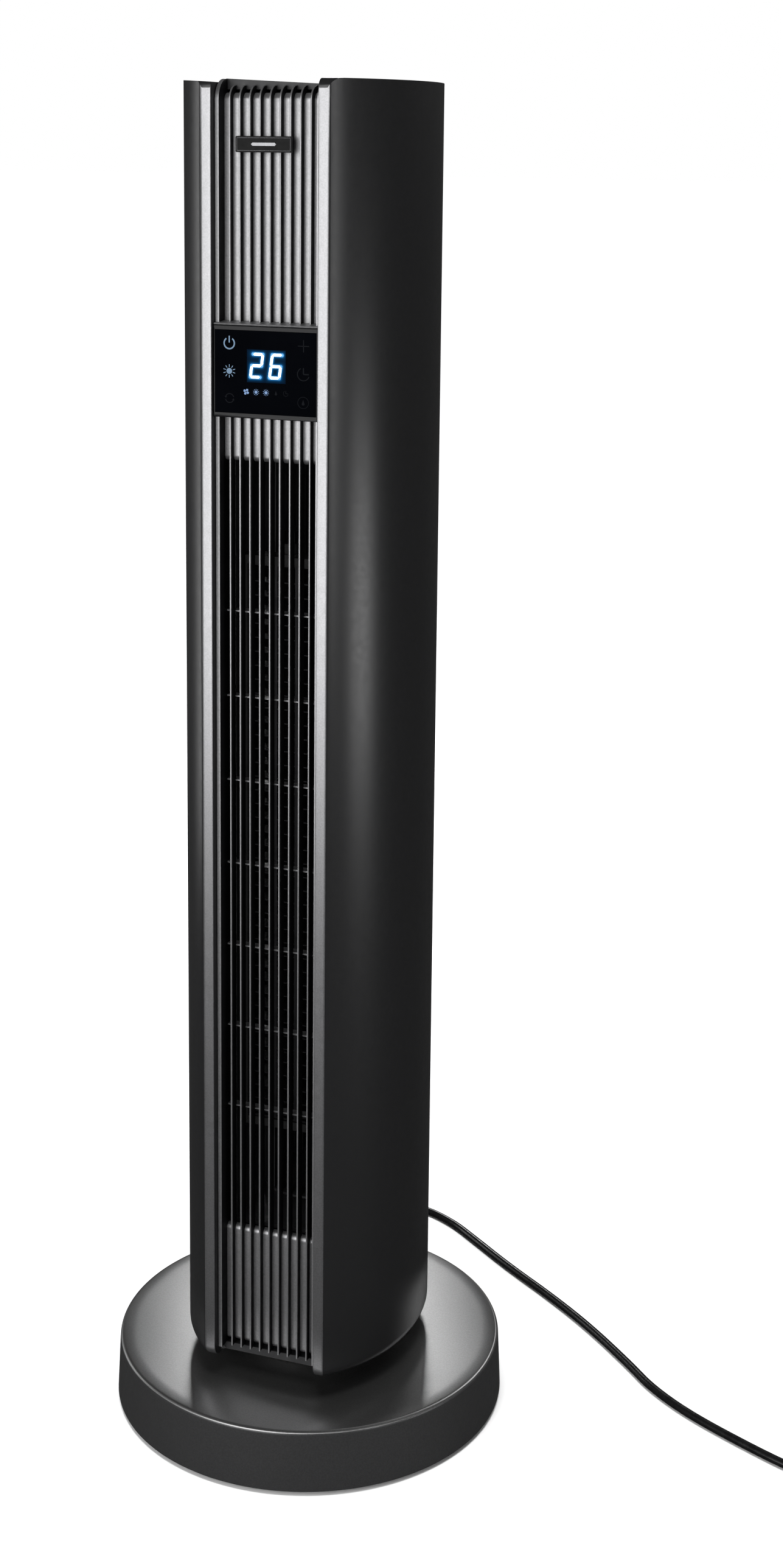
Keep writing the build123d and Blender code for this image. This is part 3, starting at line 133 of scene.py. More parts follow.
def put(node, **values):
    """Sets inputs of a shader node; an underscore in a name stands for a space."""
    for name, value in values.items():
        node.inputs[name.replace("_", " ")].default_value = value
    return node


# ------------------------ camera
def make_camera():
    """Camera at the photograph's viewing angle."""
    turn, pan, tilt, roll = (radians(a) for a in (21.496, -2.104, 9.594, 0.609))
    flat = Vector((-sin(turn + pan), cos(turn + pan), 0))
    right = Vector((flat.y, -flat.x, 0))
    ahead = flat * cos(tilt) - Vector((0, 0, 1)) * sin(tilt)
    up = right.cross(ahead)
    x_axis, y_axis = right * cos(roll) + up * sin(roll), up * cos(roll) - right * sin(roll)
    data = bpy.data.cameras.new("camera")
    data.lens = 49.285
    data.sensor_width = 36.0
    data.shift_y = -0.176
    data.clip_start = 0.05
    camera = linked("camera", data)
    turned = Matrix((x_axis, y_axis, -ahead)).transposed().to_4x4()
    camera.matrix_world = Matrix.Translation(CAMERA_PLACE * MM) @ turned
    bpy.context.scene.camera = camera


# ------------------------ materials
class Shader:
    """A principled material whose colour, roughness and bump come from noise."""

    def __init__(self, name, colour, roughness, metallic=0.0, specular=0.5):
        self.material = bpy.data.materials.new(name)
        self.material.use_nodes = True
        self.tree = self.material.node_tree
        self.surface = self.tree.nodes["Principled BSDF"]
        self.colour = colour
        self.roughness = roughness
        put(self.surface, Base_Color=(*colour, 1), Metallic=metallic, Roughness=roughness)
        put(self.surface, Specular_IOR_Level=specular)
        self.place = self.node("ShaderNodeTexCoord").outputs["Object"]
        self.normal = None

    def node(self, kind, **values):
        made = self.tree.nodes.new(kind)
        for name, value in values.items():
            setattr(made, name, value)
        return made

    def link(self, source, target):
        self.tree.links.new(source, target)

    def noise(self, scale, detail=3.0, stretch=(1, 1, 1)):
        """Noise over the object's own coordinates; scale is in cycles per metre."""
        mapping = put(self.node("ShaderNodeMapping"), Scale=stretch)
        self.link(self.place, mapping.inputs["Vector"])
        texture = put(self.node("ShaderNodeTexNoise"), Scale=scale, Detail=detail)
        self.link(mapping.outputs["Vector"], texture.inputs["Vector"])
        return texture.outputs["Fac"]

    def spread(self, value, low, high):
        """Noise mapped to a range."""
        mapped = put(self.node("ShaderNodeMapRange"), From_Min=0.3, From_Max=0.7, To_Min=low, To_Max=high)
        self.link(value, mapped.inputs["Value"])
        return mapped.outputs["Result"]

    def mottle(self, scale, amount, stretch=(1, 1, 1), detail=4.0):
        """Colour that drifts by a share of itself."""
        mix = self.node("ShaderNodeMix", data_type="RGBA")
        dark = [max(0.0, c * (1 - amount)) for c in self.colour]
        light = [min(1.0, c * (1 + amount)) for c in self.colour]
        put(mix, A=(*dark, 1), B=(*light, 1))
        self.link(self.spread(self.noise(scale, detail, stretch), 0, 1), mix.inputs["Factor"])
        self.link(mix.outputs["Result"], self.surface.inputs["Base Color"])
        return self

    def smudge(self, scale, amount, stretch=(1, 1, 1)):
        """Roughness that drifts by a share of itself."""
        low, high = self.roughness * (1 - amount), min(1.0, self.roughness * (1 + amount))
        fac = self.noise(scale, 2.0, stretch)
        self.link(self.spread(fac, low, high), self.surface.inputs["Roughness"])
        return self

    def grain(self, scale, depth, stretch=(1, 1, 1), detail=2.0):
        """Surface relief; depth is in millimetres."""
        return self.relief(self.noise(scale, detail, stretch), depth)

    def relief(self, height, depth):
        """Bump from any height value."""
        bump = put(self.node("ShaderNodeBump"), Distance=depth * MM)
        self.link(height, bump.inputs["Height"])
        if self.normal:
            self.link(self.normal, bump.inputs["Normal"])
        self.normal = bump.outputs["Normal"]
        self.link(self.normal, self.surface.inputs["Normal"])
        return self

    def weave(self, threads, depth):
        """Crossed threads, for cloth and mesh; threads is in cycles per metre."""
        bands = []
        for direction in ("X", "Z"):
            wave = put(self.node("ShaderNodeTexWave", bands_direction=direction), Scale=threads)
            self.link(self.place, wave.inputs["Vector"])
            bands.append(wave.outputs["Fac"])
        both = self.node("ShaderNodeMath", operation="MULTIPLY")
        self.link(bands[0], both.inputs[0])
        self.link(bands[1], both.inputs[1])
        return self.relief(both.outputs["Value"], depth)

    def glow(self, colour, strength):
        put(self.surface, Emission_Color=(*colour, 1), Emission_Strength=strength)
        return self

    def coat(self, weight, roughness):
        put(self.surface, Coat_Weight=weight, Coat_Roughness=roughness)
        return self


def painted_metallic(name, colour, roughness, metallic, grain=0.012):
    """Satin paint with fine metal flake over moulded plastic."""
    shader = Shader(name, colour, roughness, metallic, 0.4)
    return shader.mottle(900.0, 0.10, detail=2.0).smudge(240.0, 0.06).grain(1500.0, grain)


def spun_metallic(name, colour, roughness, metallic):
    """Satin metallic with very fine turning marks round the Z axis."""
    shader = Shader(name, colour, roughness, metallic, 0.4)
    shader.mottle(900.0, 0.08, detail=2.0).smudge(260.0, 0.04).grain(700.0, 0.0012)
    tangent = shader.node("ShaderNodeTangent", direction_type="RADIAL", axis="Z")
    shader.link(tangent.outputs["Tangent"], shader.surface.inputs["Tangent"])
    put(shader.surface, Anisotropic=0.85)
    return shader


def moulded(name, colour, roughness, specular=0.35, grain=0.02):
    """Fine-textured plastic moulding."""
    shader = Shader(name, colour, roughness, 0.0, specular)
    return shader.mottle(60.0, 0.18).smudge(120.0, 0.12).grain(1100.0, grain)


def sheet_metal(name, colour, roughness, stretch=(1, 1, 40)):
    """Rolled or brushed metal, with its lines along one direction."""
    shader = Shader(name, colour, roughness, 1.0, 0.5)
    return shader.mottle(180.0, 0.12, stretch).smudge(90.0, 0.2, stretch).grain(900.0, 0.01, stretch)


def make_materials():
    """One material for each slot, and for the finer parts of the visual pieces."""
    m = {}
    m["casing_metallic"] = painted_metallic("casing_satin_black", (0.009, 0.009, 0.0095), 0.30, 0.0)
    # Grey metallic strip material: a lit copy of the black casing paint, a painted highlight on the front
    # strips
    m["strip_metallic"] = painted_metallic("strip_painted_highlight_grey", (0.22, 0.22, 0.225), 0.34, 0.9)
    m["grille_metallic"] = painted_metallic("grille_satin_grey", (0.24, 0.24, 0.245), 0.40, 0.8)
    # Near-black material for the sides and backs of the fins and rails: painted shade of the channels
    # between them, on faces of the same grey moulding as the fronts
    m["fin_side"] = moulded("fin_side_painted_shade", (0.006, 0.006, 0.0065), 0.5, 0.08, 0.01)
    m["base_metallic"] = spun_metallic("base_satin_metallic", (0.30, 0.30, 0.30), 0.31, 0.95)
    # Darker copy of the base's metallic for its upright side: painted shade
    m["base_side"] = painted_metallic("base_side_painted_shade", (0.05, 0.05, 0.051), 0.36, 0.6)
    m["black_plastic"] = moulded("black_moulding", (0.016, 0.016, 0.017), 0.48)
    gloss = moulded("black_gloss_moulding", (0.004, 0.004, 0.0045), 0.22, 0.12, 0.004)
    m["black_gloss"] = gloss.coat(0.02, 0.1)
    glass = Shader("smoked_display_glass", (0.0011, 0.0013, 0.0019), 0.10, 0.0, 0.0)
    m["display_glass"] = glass.mottle(25.0, 0.2).smudge(45.0, 0.35).grain(12.0, 0.01)
    badge = Shader("badge_black_lacquer", (0.005, 0.005, 0.005), 0.35, 0.0, 0.05)
    m["badge_black"] = badge.mottle(300.0, 0.2).smudge(200.0, 0.2).grain(900.0, 0.004)
    m["badge_metal"] = sheet_metal("badge_silver", (0.16, 0.16, 0.165), 0.3, (40, 1, 1))
    screen = Shader("filter_mesh_fabric", (0.035, 0.035, 0.038), 0.7)
    m["filter_mesh"] = screen.mottle(200.0, 0.3).smudge(150.0, 0.15).weave(420.0, 0.25)
    board = Shader("circuit_board_green", (0.012, 0.12, 0.05), 0.32)
    board.mottle(220.0, 0.35, (1, 4, 1)).smudge(90.0, 0.2).grain(350.0, 0.03, (1, 6, 1))
    m["circuit_board"] = board
    m["board_parts"] = moulded("board_components", (0.10, 0.10, 0.12), 0.4)
    m["white_plastic"] = moulded("natural_moulding", (0.74, 0.73, 0.69), 0.42)
    m["heat_plastic"] = moulded("glass_filled_moulding", (0.008, 0.008, 0.008), 0.65, 0.15, 0.05)
    m["galvanised_sheet"] = sheet_metal("galvanised_sheet", (0.30, 0.31, 0.32), 0.5)
    m["aluminium_fins"] = sheet_metal("heater_fins", (0.02, 0.02, 0.021), 0.6, (40, 1, 1))
    m["copper_windings"] = sheet_metal("copper_windings", (0.45, 0.19, 0.08), 0.35, (1, 1, 30))
    m["bronze_bush"] = sheet_metal("sintered_bronze", (0.42, 0.27, 0.12), 0.42, (1, 1, 1))
    m["steel"] = sheet_metal("plated_steel", (0.52, 0.52, 0.53), 0.28, (1, 1, 12))
    iron = Shader("cast_weight", (0.055, 0.055, 0.057), 0.7, 0.6)
    m["cast_weight"] = iron.mottle(90.0, 0.35).smudge(140.0, 0.15).grain(320.0, 0.25, detail=5.0)
    m["rubber"] = moulded("matt_rubber", (0.014, 0.014, 0.014), 0.7, 0.3, 0.05)
    cord = Shader("cord_jacket", (0.004, 0.004, 0.0043), 0.26, 0.0, 0.5)
    m["cord_jacket"] = cord.mottle(120.0, 0.25).smudge(160.0, 0.2).grain(260.0, 0.03)
    strap = Shader("woven_strap", (0.02, 0.02, 0.021), 0.8)
    m["tie_strap"] = strap.mottle(300.0, 0.3).smudge(200.0, 0.1).weave(260.0, 0.3)
    lit = Shader("digit_light", (0.9, 0.95, 1.0), 0.4)
    m["digit_light"] = lit.mottle(300.0, 0.05).smudge(100.0, 0.1).glow((0.72, 0.92, 1.0), 1.9)
    m["icon_bright"] = icon_light("icon_bright", (0.20, 0.30, 0.42))
    m["icon_small"] = icon_light("icon_small", (0.24, 0.37, 0.62))
    m["icon_dim"] = icon_light("icon_dim", (0.0075, 0.0085, 0.0100))
    m["digit_halo"] = halo_light()
    return m


def icon_light(name, colour):
    """Printed icon, lit from behind."""
    shader = Shader(name, (0.002, 0.002, 0.0025), 0.3, 0.0, 0.0)
    return shader.mottle(200.0, 0.2).smudge(100.0, 0.1).glow(colour, 1.0)


def halo_light():
    """Smoked window that glows blue near the lit segments, from the mesh's own attribute."""
    shader = Shader("digit_halo", (0.0011, 0.0013, 0.0019), 0.10, 0.0, 0.0).smudge(45.0, 0.3)
    near = shader.node("ShaderNodeAttribute", attribute_name="glow")
    ramp = shader.node("ShaderNodeValToRGB")
    stops = ramp.color_ramp.elements
    stops[0].position, stops[0].color = 0.0, (0.0005, 0.004, 0.012, 1)
    stops[1].position, stops[1].color = 1.0, (0.18, 0.55, 1.0, 1)
    for position, colour in ((0.25, (0.001, 0.020, 0.055, 1)), (0.6, (0.004, 0.09, 0.26, 1))):
        stops.new(position).color = colour
    shader.link(near.outputs["Fac"], ramp.inputs["Fac"])
    shader.link(ramp.outputs["Color"], shader.surface.inputs["Emission Color"])
    put(shader.surface, Emission_Strength=1.0)
    return shader


# ------------------------ mesh helpers
def piece(name, mesh, body, materials, replaces=(), sharp=35.0):
    """A bmesh in millimetres becomes a named piece that rides on a body."""
    bmesh.ops.scale(mesh, vec=(MM, MM, MM), verts=mesh.verts)
    data = bpy.data.meshes.new(name)
    mesh.to_mesh(data)
    mesh.free()
    data.polygons.foreach_set("use_smooth", [True] * len(data.polygons))
    data.set_sharp_from_angle(angle=radians(sharp))
    for key in materials:
        data.materials.append(MATERIALS[key].material)
    made = linked(name, data)
    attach(made, body)
    if replaces:
        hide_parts(*replaces)
    return made


def bevel(made, width, segments=2, angle=35.0):
    """Small rounding on every sharp edge, in millimetres."""
    modifier = made.modifiers.new("bevel", "BEVEL")
    modifier.width = width * MM
    modifier.segments = segments
    modifier.limit_method = "ANGLE"
    modifier.angle_limit = radians(angle)
    modifier.harden_normals = True
    return made


def thicken(made, thickness):
    """Gives a sheet its thickness, inwards, in millimetres."""
    wall = made.modifiers.new("wall", "SOLIDIFY")
    wall.thickness = thickness * MM
    wall.offset = -1
    return made


def add_face(mesh, verts, material):
    face = mesh.faces.new(verts)
    face.material_index = material
    return face


def loft(mesh, rings, material=0, close=False, sides=None):
    """Skin over rings of points; sides gives a material for each strip of the ring."""
    made = [[mesh.verts.new(p) for p in ring] for ring in rings]
    pairs = list(zip(made, made[1:] + made[:1])) if close else list(zip(made, made[1:]))
    for a, b in pairs:
        for i in range(len(a)):
            j = (i + 1) % len(a)
            add_face(mesh, (a[i], a[j], b[j], b[i]), sides[i] if sides else material)
    if not close:
        add_face(mesh, made[0][::-1], material)
        add_face(mesh, made[-1], material)


def across(mesh, profile, half):
    """Closed outline of (y, z) points carried from one side of the middle to the other."""
    loft(mesh, [[(x, y, z) for y, z in profile] for x in (-half, half)])


def circle(count, radius, centre=(0.0, 0.0)):
    """Points round a circle."""
    angles = [2 * pi * i / count for i in range(count)]
    return [(centre[0] + radius * cos(a), centre[1] + radius * sin(a)) for a in angles]


def arc(centre, radius, start, end, steps):
    """Points of an arc, with angles in degrees."""
    angles = [radians(start + (end - start) * i / steps) for i in range(steps + 1)]
    return [(centre[0] + radius * cos(a), centre[1] + radius * sin(a)) for a in angles]


def lathe(mesh, profile, segments):
    """Closed (radius, z) outline turned about the Z axis."""
    rings = [[(r * c, r * s, z) for r, z in profile] for c, s in circle(segments, 1.0)]
    loft(mesh, rings, close=True)


def outward(mesh):
    """Turns every face to the outside."""
    bmesh.ops.recalc_face_normals(mesh, faces=mesh.faces)


def even(low, high, steps):
    """Evenly spaced values, both ends included."""
    return [low + (high - low) * i / steps for i in range(steps + 1)]


# ------------------------ side panels
OPEN = 2  # material index of faces that are taken out again


def slot_edges():
    """Across positions of the inlet slots' edges, from the outside inwards."""
    first = CHANNEL_X + WALL + SLOT_PITCH
    middles = [first + i * SLOT_PITCH for i in reversed(range(PANEL_SLOTS))]
    return [x + s * SLOT_WIDTH / 2 for x in middles for s in (1, -1)]


def slot_rows():
    """Lowest and highest z of each row of inlet slots."""
    height = (OUTLET_TOP_Z - OUTLET_BOTTOM_Z - (SLOT_ROWS - 1) * SLOT_ROW_GAP) / SLOT_ROWS
    starts = [OUTLET_BOTTOM_Z + i * (height + SLOT_ROW_GAP) for i in range(SLOT_ROWS)]
    return [(z, z + height) for z in starts]


def rounded_corner(before, corner, after, steps):
    """Smooth turn from one point to another, pulled towards a corner."""
    points = []
    for t in even(0, 1, steps):
        weights = ((1 - t) ** 2, 2 * t * (1 - t), t * t)
        points.append(tuple(
            weights[0] * before[k] + weights[1] * corner[k] + weights[2] * after[k] for k in (0, 1)
        ))
    return points


def panel_outline(inset):
    """Right panel's outline from above, front return to back return: (x, y, kind) points."""
    wide, deep, flat = HALF_WIDTH - inset, HALF_DEPTH - inset, FLAT_Y - inset
    corner_t = asin(flat / deep)
    corner_x = wide * cos(corner_t)
    inner_y = FLAT_Y - RETURN_DEPTH
    edge, front_blend, back_blend = 0.5, 1.5, 0.22
    front_t = corner_t - front_blend / hypot(wide * sin(corner_t), deep * cos(corner_t))
    back_t = corner_t - BACK_BLEND_ANGLE

    def oval(t):
        return wide * cos(t), deep * sin(t)

    points = []

    def add(found, kind):
        points.extend((*p, kind) for p in found)

    strip_x = CHANNEL_X + edge
    add([(CHANNEL_X, y) for y in even(-inner_y, -flat + edge, 3)[:-1]], "return")
    add(rounded_corner((CHANNEL_X, -flat + edge), (CHANNEL_X, -flat), (strip_x, -flat), 3), "strip")
    add([(x, -flat) for x in even(strip_x, corner_x - front_blend, 3)[1:-1]], "strip")
    turn = rounded_corner((corner_x - front_blend, -flat), (corner_x, -flat), oval(-front_t), 5)
    add(turn[:3], "strip")
    add(turn[3:], "side")
    add([oval(-front_t * (1 - s)) for s in even(0, 1, FRONT_STEPS)[1:]], "side")
    first_slot = acos(slot_edges()[0] / HALF_WIDTH)
    full = asin(FLAT_Y / HALF_DEPTH) - BACK_BLEND_ANGLE
    plain = even(0, first_slot, BACK_STEPS)[1:]
    edges = [acos(x / HALF_WIDTH) for x in slot_edges()[1:-1]] + [full]
    add([oval(t * back_t / full) for t in plain], "side")
    kinds = ["slot", "side"] * PANEL_SLOTS
    for i, t in enumerate(edges):
        points[-1] = (*points[-1][:2], kinds[i])
        add([oval(t * back_t / full)], "side")
    back_x = corner_x - back_blend
    add(rounded_corner(oval(back_t), (corner_x, flat), (back_x, flat), 2)[1:], "side")
    add([(x, flat) for x in even(back_x, strip_x, 3)[1:]], "side")
    add(rounded_corner((strip_x, flat), (CHANNEL_X, flat), (CHANNEL_X, flat - edge), 3)[1:], "side")
    add([(CHANNEL_X, y) for y in even(flat - edge, inner_y, 3)[1:]], "return")
    return points


def panel_rows():
    """(z, inset, is_slot_row) from the bottom flange to the top edge."""
    beyond_cut = 2.0
    rows = [(BOTTOM_Z, FLANGE_INSET, False)]
    for angle in even(90, 0, 8):
        drop = BOTTOM_RADIUS * (1 - sin(radians(angle)))
        rows.append((BOTTOM_Z + drop, BOTTOM_RADIUS * (1 - cos(radians(angle))), False))
    level = rows[-1][0]
    for low, high in slot_rows():
        rows += [(z, 0.0, False) for z in even(level, low, 2)[1:-1]]
        rows += [(z, 0.0, True) for z in even(low, high, 3)[:-1]]
        rows.append((high, 0.0, False))
        level = high
    rows += [(z, 0.0, False) for z in even(level, TOP_Z + beyond_cut, 5)[1:]]
    return rows


def cut_off(mesh, point, normal):
    """Removes what lies beyond a plane and closes the cut."""
    parts = mesh.verts[:] + mesh.edges[:] + mesh.faces[:]
    cut = bmesh.ops.bisect_plane(
        mesh, geom=parts, dist=1e-4, plane_co=point, plane_no=normal, clear_outer=True
    )["geom_cut"]
    edges = [g for g in cut if isinstance(g, bmesh.types.BMEdge) and len(g.link_faces) < 2]
    # Every cut face takes the casing's black, so the grey of the front strip stops where its top rolls
    # over: painted shade on the roll
    for face in bmesh.ops.edgenet_fill(mesh, edges=edges)["faces"]:
        face.material_index = 0


def shape_panel_top(mesh, side):
    """Cuts the top flat, or falling inwards on the left, and rolls it over at the front and the back."""
    drop = LEFT_TOP_DROP if side < 0 else 0.0
    slope = atan2(drop, HALF_WIDTH - CHANNEL_X)
    cut_off(mesh, (side * HALF_WIDTH, 0, TOP_Z), (sin(slope), 0, cos(slope)))
    steps = 7
    for end in (-1, 1):
        for i in range(steps):
            middle = radians(90 * (i + 0.5) / steps)
            reach = TOP_ROLL * cos(radians(45 / steps))
            y = end * (FLAT_Y - TOP_ROLL + reach * cos(middle))
            z = TOP_Z - TOP_ROLL + reach * sin(middle)
            # The roll's cut faces are black: painted shade on the top of the front strip
            cut_off(mesh, (0, y, z), (0, end * cos(middle), sin(middle)))


def side_panel(node, side):
    """Casing panel: an oval wall with a rounded foot, front strip, returns, flange and inlet slots."""
    mesh = bmesh.new()
    grid = []
    rows = panel_rows()
    for z, inset, _ in rows:
        grid.append([(mesh.verts.new((side * x, y, z)), kind) for x, y, kind in panel_outline(inset)])
    for (_, _, has_slots), low, high in zip(rows, grid, grid[1:]):
        for j in range(len(low)):
            k = (j + 1) % len(low)
            kind = low[j][1] if k else "inside"
            corners = [low[j][0], low[k][0], high[k][0], high[j][0]]
            slot = OPEN if has_slots else 0
            material = {"strip": 1, "inside": OPEN, "slot": slot}.get(kind, 0)
            add_face(mesh, corners if side > 0 else corners[::-1], material)
    shape_panel_top(mesh, side)
    open_faces = [f for f in mesh.faces if f.material_index == OPEN]
    bmesh.ops.delete(mesh, geom=open_faces, context="FACES")
    # The front strip's faces take the grey strip material: painted highlight on what is the casing's own
    # paint
    finish = ["casing_metallic", "strip_metallic"]
    made = piece(node + "_shell", mesh, "column", finish, [node])
    return bevel(thicken(made, WALL), 0.5)


# ------------------------ front insert
def over_top(y, z_low):
    """(y, z) points up a face and over the curve at the top."""
    return [(y, z_low)] + arc((CURVE_Y, CURVE_Z), CURVE_Y - y, 180, 90, 10)


def upright(y, z_low, z_high):
    """(y, z) points of a straight face."""
    return [(y, z_low), (y, z_high)]


def fin(mesh, x, z_low, z_high):
    """Thin upright blade; a fin that reaches the top curves back over it."""
    half, round_off = FIN_THICKNESS / 2, 0.35
    if z_high is None:
        fronts = over_top(FIN_Y, z_low)
        backs = over_top(FIN_BACK_Y, z_low)
    else:
        fronts, backs = upright(FIN_Y, z_low, z_high), upright(FIN_BACK_Y, z_low, z_high)
    rings = []
    for (fy, fz), (by, bz) in zip(fronts, backs):
        depth = hypot(by - fy, bz - fz)
        sy, sz = fy + (by - fy) * round_off / depth, fz + (bz - fz) * round_off / depth
        rings.append([
            (x - half, by, bz), (x - half, sy, sz), (x - half + round_off, fy, fz),
            (x + half - round_off, fy, fz), (x + half, sy, sz), (x + half, by, bz),
        ])
    # The blade's sides and back take the near-black material: painted shade between the fins
    loft(mesh, rings, 1, sides=[1, 0, 0, 0, 1, 1])


def border(mesh, side, z_low, z_high):
    """Edge rail of the insert, set back behind the front strips."""
    x_in, x_out = side * (GRILLE_HALF - BORDER_WIDTH), side * GRILLE_HALF
    narrows_z, top_back = CURVE_Z - 18.0, CURVE_Y - 1.0
    if z_high is None:
        fronts = upright(BORDER_Y, z_low, narrows_z) + over_top(BORDER_Y, CURVE_Z)[1:]
        backs = upright(BORDER_BACK_Y, z_low, narrows_z) + over_top(top_back, CURVE_Z)[1:]
    else:
        fronts, backs = upright(BORDER_Y, z_low, z_high), upright(BORDER_BACK_Y, z_low, z_high)
    rings = [
        [(x_out, fy, fz), (x_in, fy, fz), (x_in, by, bz), (x_out, by, bz)]
        for (fy, fz), (by, bz) in zip(fronts, backs)
    ]
    # The rail's sides and back take the near-black material: painted shade
    loft(mesh, rings, 0, sides=[0, 1, 1, 1])


def floor_profile(z_low, z_high, low_radius, high_radius):
    """Outline of the closed floor between the fins, with its ends rolled back."""
    outline = []
    if high_radius:
        outline += arc((FLOOR_BACK_Y, z_high - high_radius), high_radius, 90, 180, 8)
    else:
        outline += [(FLOOR_BACK_Y, z_high), (FLOOR_Y, z_high)]
    if low_radius:
        outline += arc((FLOOR_BACK_Y, z_low + low_radius), low_radius, 180, 270, 8)
    else:
        outline += [(FLOOR_Y, z_low), (FLOOR_BACK_Y, z_low)]
    return outline


def rung_profile(z):
    """Outline of a rung behind the fins, with its front edges broken."""
    front, back = FIN_BACK_Y - RUNG_HALF, FIN_BACK_Y - RUNG_HALF + RUNG_DEPTH
    low, high = z - RUNG_HALF, z + RUNG_HALF
    return [
        (front + RUNG_NOSE, high), (front, high - RUNG_NOSE), (front, low + RUNG_NOSE),
        (front + RUNG_NOSE, low), (back, low), (back, high),
    ]


def front_insert():
    """Outlet insert: rails, fins, closed floors, rungs and the sill above the display."""
    mesh = bmesh.new()
    window_low, window_high = BEZEL_LOW.z - FIT_GAP, BEZEL_HIGH.z + FIT_GAP
    spans = ((GRILLE_BOTTOM_Z, window_low), (window_high, None))
    for z_low, z_high in spans:
        for side in (-1, 1):
            border(mesh, side, z_low, z_high)
        for i in range(FIN_COUNT):
            fin(mesh, (i - (FIN_COUNT - 1) / 2) * FIN_PITCH, z_low, z_high)
    inner = GRILLE_HALF - BORDER_WIDTH
    roll = FLOOR_BACK_Y - FLOOR_Y
    across(mesh, floor_profile(GRILLE_BOTTOM_Z + 1.8, OUTLET_BOTTOM_Z, roll, roll), inner)
    across(mesh, floor_profile(OUTLET_TOP_Z, window_low, roll, 0), inner)
    rise = over_top(FLOOR_Y, window_high)
    end_y = CURVE_Y + 0.7
    top_floor = rise + [(end_y, rise[-1][1]), (end_y, CURVE_Z), (FLOOR_BACK_Y, CURVE_Z - 3)]
    across(mesh, top_floor + [(FLOOR_BACK_Y, window_high)], inner)
    lip_y, under = BEZEL_LOW.y, window_high - 1.1
    sill = [
        (lip_y + 1.0, under), (lip_y + 0.4, window_high - 0.5), (lip_y + 0.9, window_high + 0.2),
        (FLOOR_Y, window_high + 1.2), (FLOOR_Y, under),
    ]
    across(mesh, sill, GRILLE_HALF)
    for i in range(RUNG_COUNT):
        across(mesh, rung_profile(RUNG_TOP_Z - i * RUNG_SPACING), inner)
    outward(mesh)
    # The second material paints shade on the sides and backs of the fins and rails
    finish = ["grille_metallic", "fin_side"]
    made = piece("front_insert", mesh, "column", finish, ["front_grille"])
    return bevel(made, 0.12, 1, 50.0)


# ------------------------ display
def slab(mesh, low, high, radius):
    """Plate facing the front, with rounded corners."""
    outline = []
    corners = ((high.x, high.z, 0), (low.x, high.z, 90), (low.x, low.z, 180), (high.x, low.z, 270))
    for x, z, start in corners:
        centre = (x - radius if x == high.x else x + radius, z - radius if z == high.z else z + radius)
        outline += arc(centre, radius, start, start + 90, 6)
    loft(mesh, [[(x, y, z) for x, z in outline] for y in (low.y, high.y)])


def display_frame():
    """Black frame round the glass, with a pocket that the glass sits in."""
    mesh = bmesh.new()
    pocket, top_gap, pocket_depth, ledge = 0.15, 0.9, 2.0, 2.0
    low, high = BEZEL_LOW.copy(), BEZEL_HIGH.copy()
    high.z -= top_gap
    hole_low = Vector((GLASS_LOW.x - pocket, 0, GLASS_LOW.z - pocket))
    hole_high = Vector((GLASS_HIGH.x + pocket, 0, GLASS_HIGH.z + pocket))

    def ring(a, b, y, inset):
        return [
            (a.x + inset, y, a.z + inset), (b.x - inset, y, a.z + inset),
            (b.x - inset, y, b.z - inset), (a.x + inset, y, b.z - inset),
        ]

    rings = [
        ring(low, high, high.y, 0.0),
        ring(low, high, low.y + 0.8, 0.0),
        ring(low, high, low.y + 0.25, 0.12),
        ring(low, high, low.y, 0.5),
        ring(hole_low, hole_high, low.y, 0.0),
        ring(hole_low, hole_high, low.y + pocket_depth, 0.0),
        ring(hole_low, hole_high, low.y + pocket_depth, ledge),
        ring(hole_low, hole_high, high.y, ledge),
    ]
    loft(mesh, rings, close=True)
    outward(mesh)
    slot = "black_gloss"
    made = piece("display_frame", mesh, "column", [slot], ["display_bezel"])
    return bevel(made, 0.12)


def display_window():
    """Smoked front glass with polished edges."""
    mesh = bmesh.new()
    slab(mesh, GLASS_LOW, GLASS_HIGH, 0.6)
    outward(mesh)
    slot = "display_glass"
    made = piece("display_window", mesh, "column", [slot], ["display_glass"])
    return bevel(made, 0.35, 3)


GLASS_Y = GLASS_LOW.y
WINDOW_Y = GLASS_Y - 0.05
DIGIT_Y = GLASS_Y - 0.06
INLAY_DEPTH = 0.05
GLASS_MIDDLE = (GLASS_LOW.z + GLASS_HIGH.z) / 2
DIGIT_HEIGHT = 17.0
DIGIT_WIDTH = 8.7
DIGIT_PITCH = 13.7
DIGIT_LEFT = -11.5
DIGIT_BOTTOM = -3.9
DIGIT_SLANT = 0.137
SEGMENT_WIDTH = 1.75
SEGMENT_GAP = 0.14
LIT_SEGMENTS = ("abged", "afgedc")  # a two and a six


def segment_lines(left):
    """Centre lines of the seven segments of one digit, upright: name to two (x, z) ends."""
    half = SEGMENT_WIDTH / 2
    x0, x1 = left + half, left + DIGIT_WIDTH - half
    z0, z2 = DIGIT_BOTTOM + half, DIGIT_BOTTOM + DIGIT_HEIGHT - half
    z1 = (z0 + z2) / 2
    return {
        "a": ((x0, z2), (x1, z2)), "b": ((x1, z1), (x1, z2)), "c": ((x1, z0), (x1, z1)),
        "d": ((x0, z0), (x1, z0)), "e": ((x0, z0), (x0, z1)), "f": ((x0, z1), (x0, z2)),
        "g": ((x0, z1), (x1, z1)),
    }


def slanted(x, z):
    """Leans a digit's point to the right."""
    return x + DIGIT_SLANT * (z - DIGIT_BOTTOM), z


def lit_lines():
    """Centre lines of every lit segment of the shown number, slanted."""
    lines = []
    for place, lit in enumerate(LIT_SEGMENTS):
        found = segment_lines(DIGIT_LEFT + place * DIGIT_PITCH)
        lines += [found[name] for name in lit]
    return lines


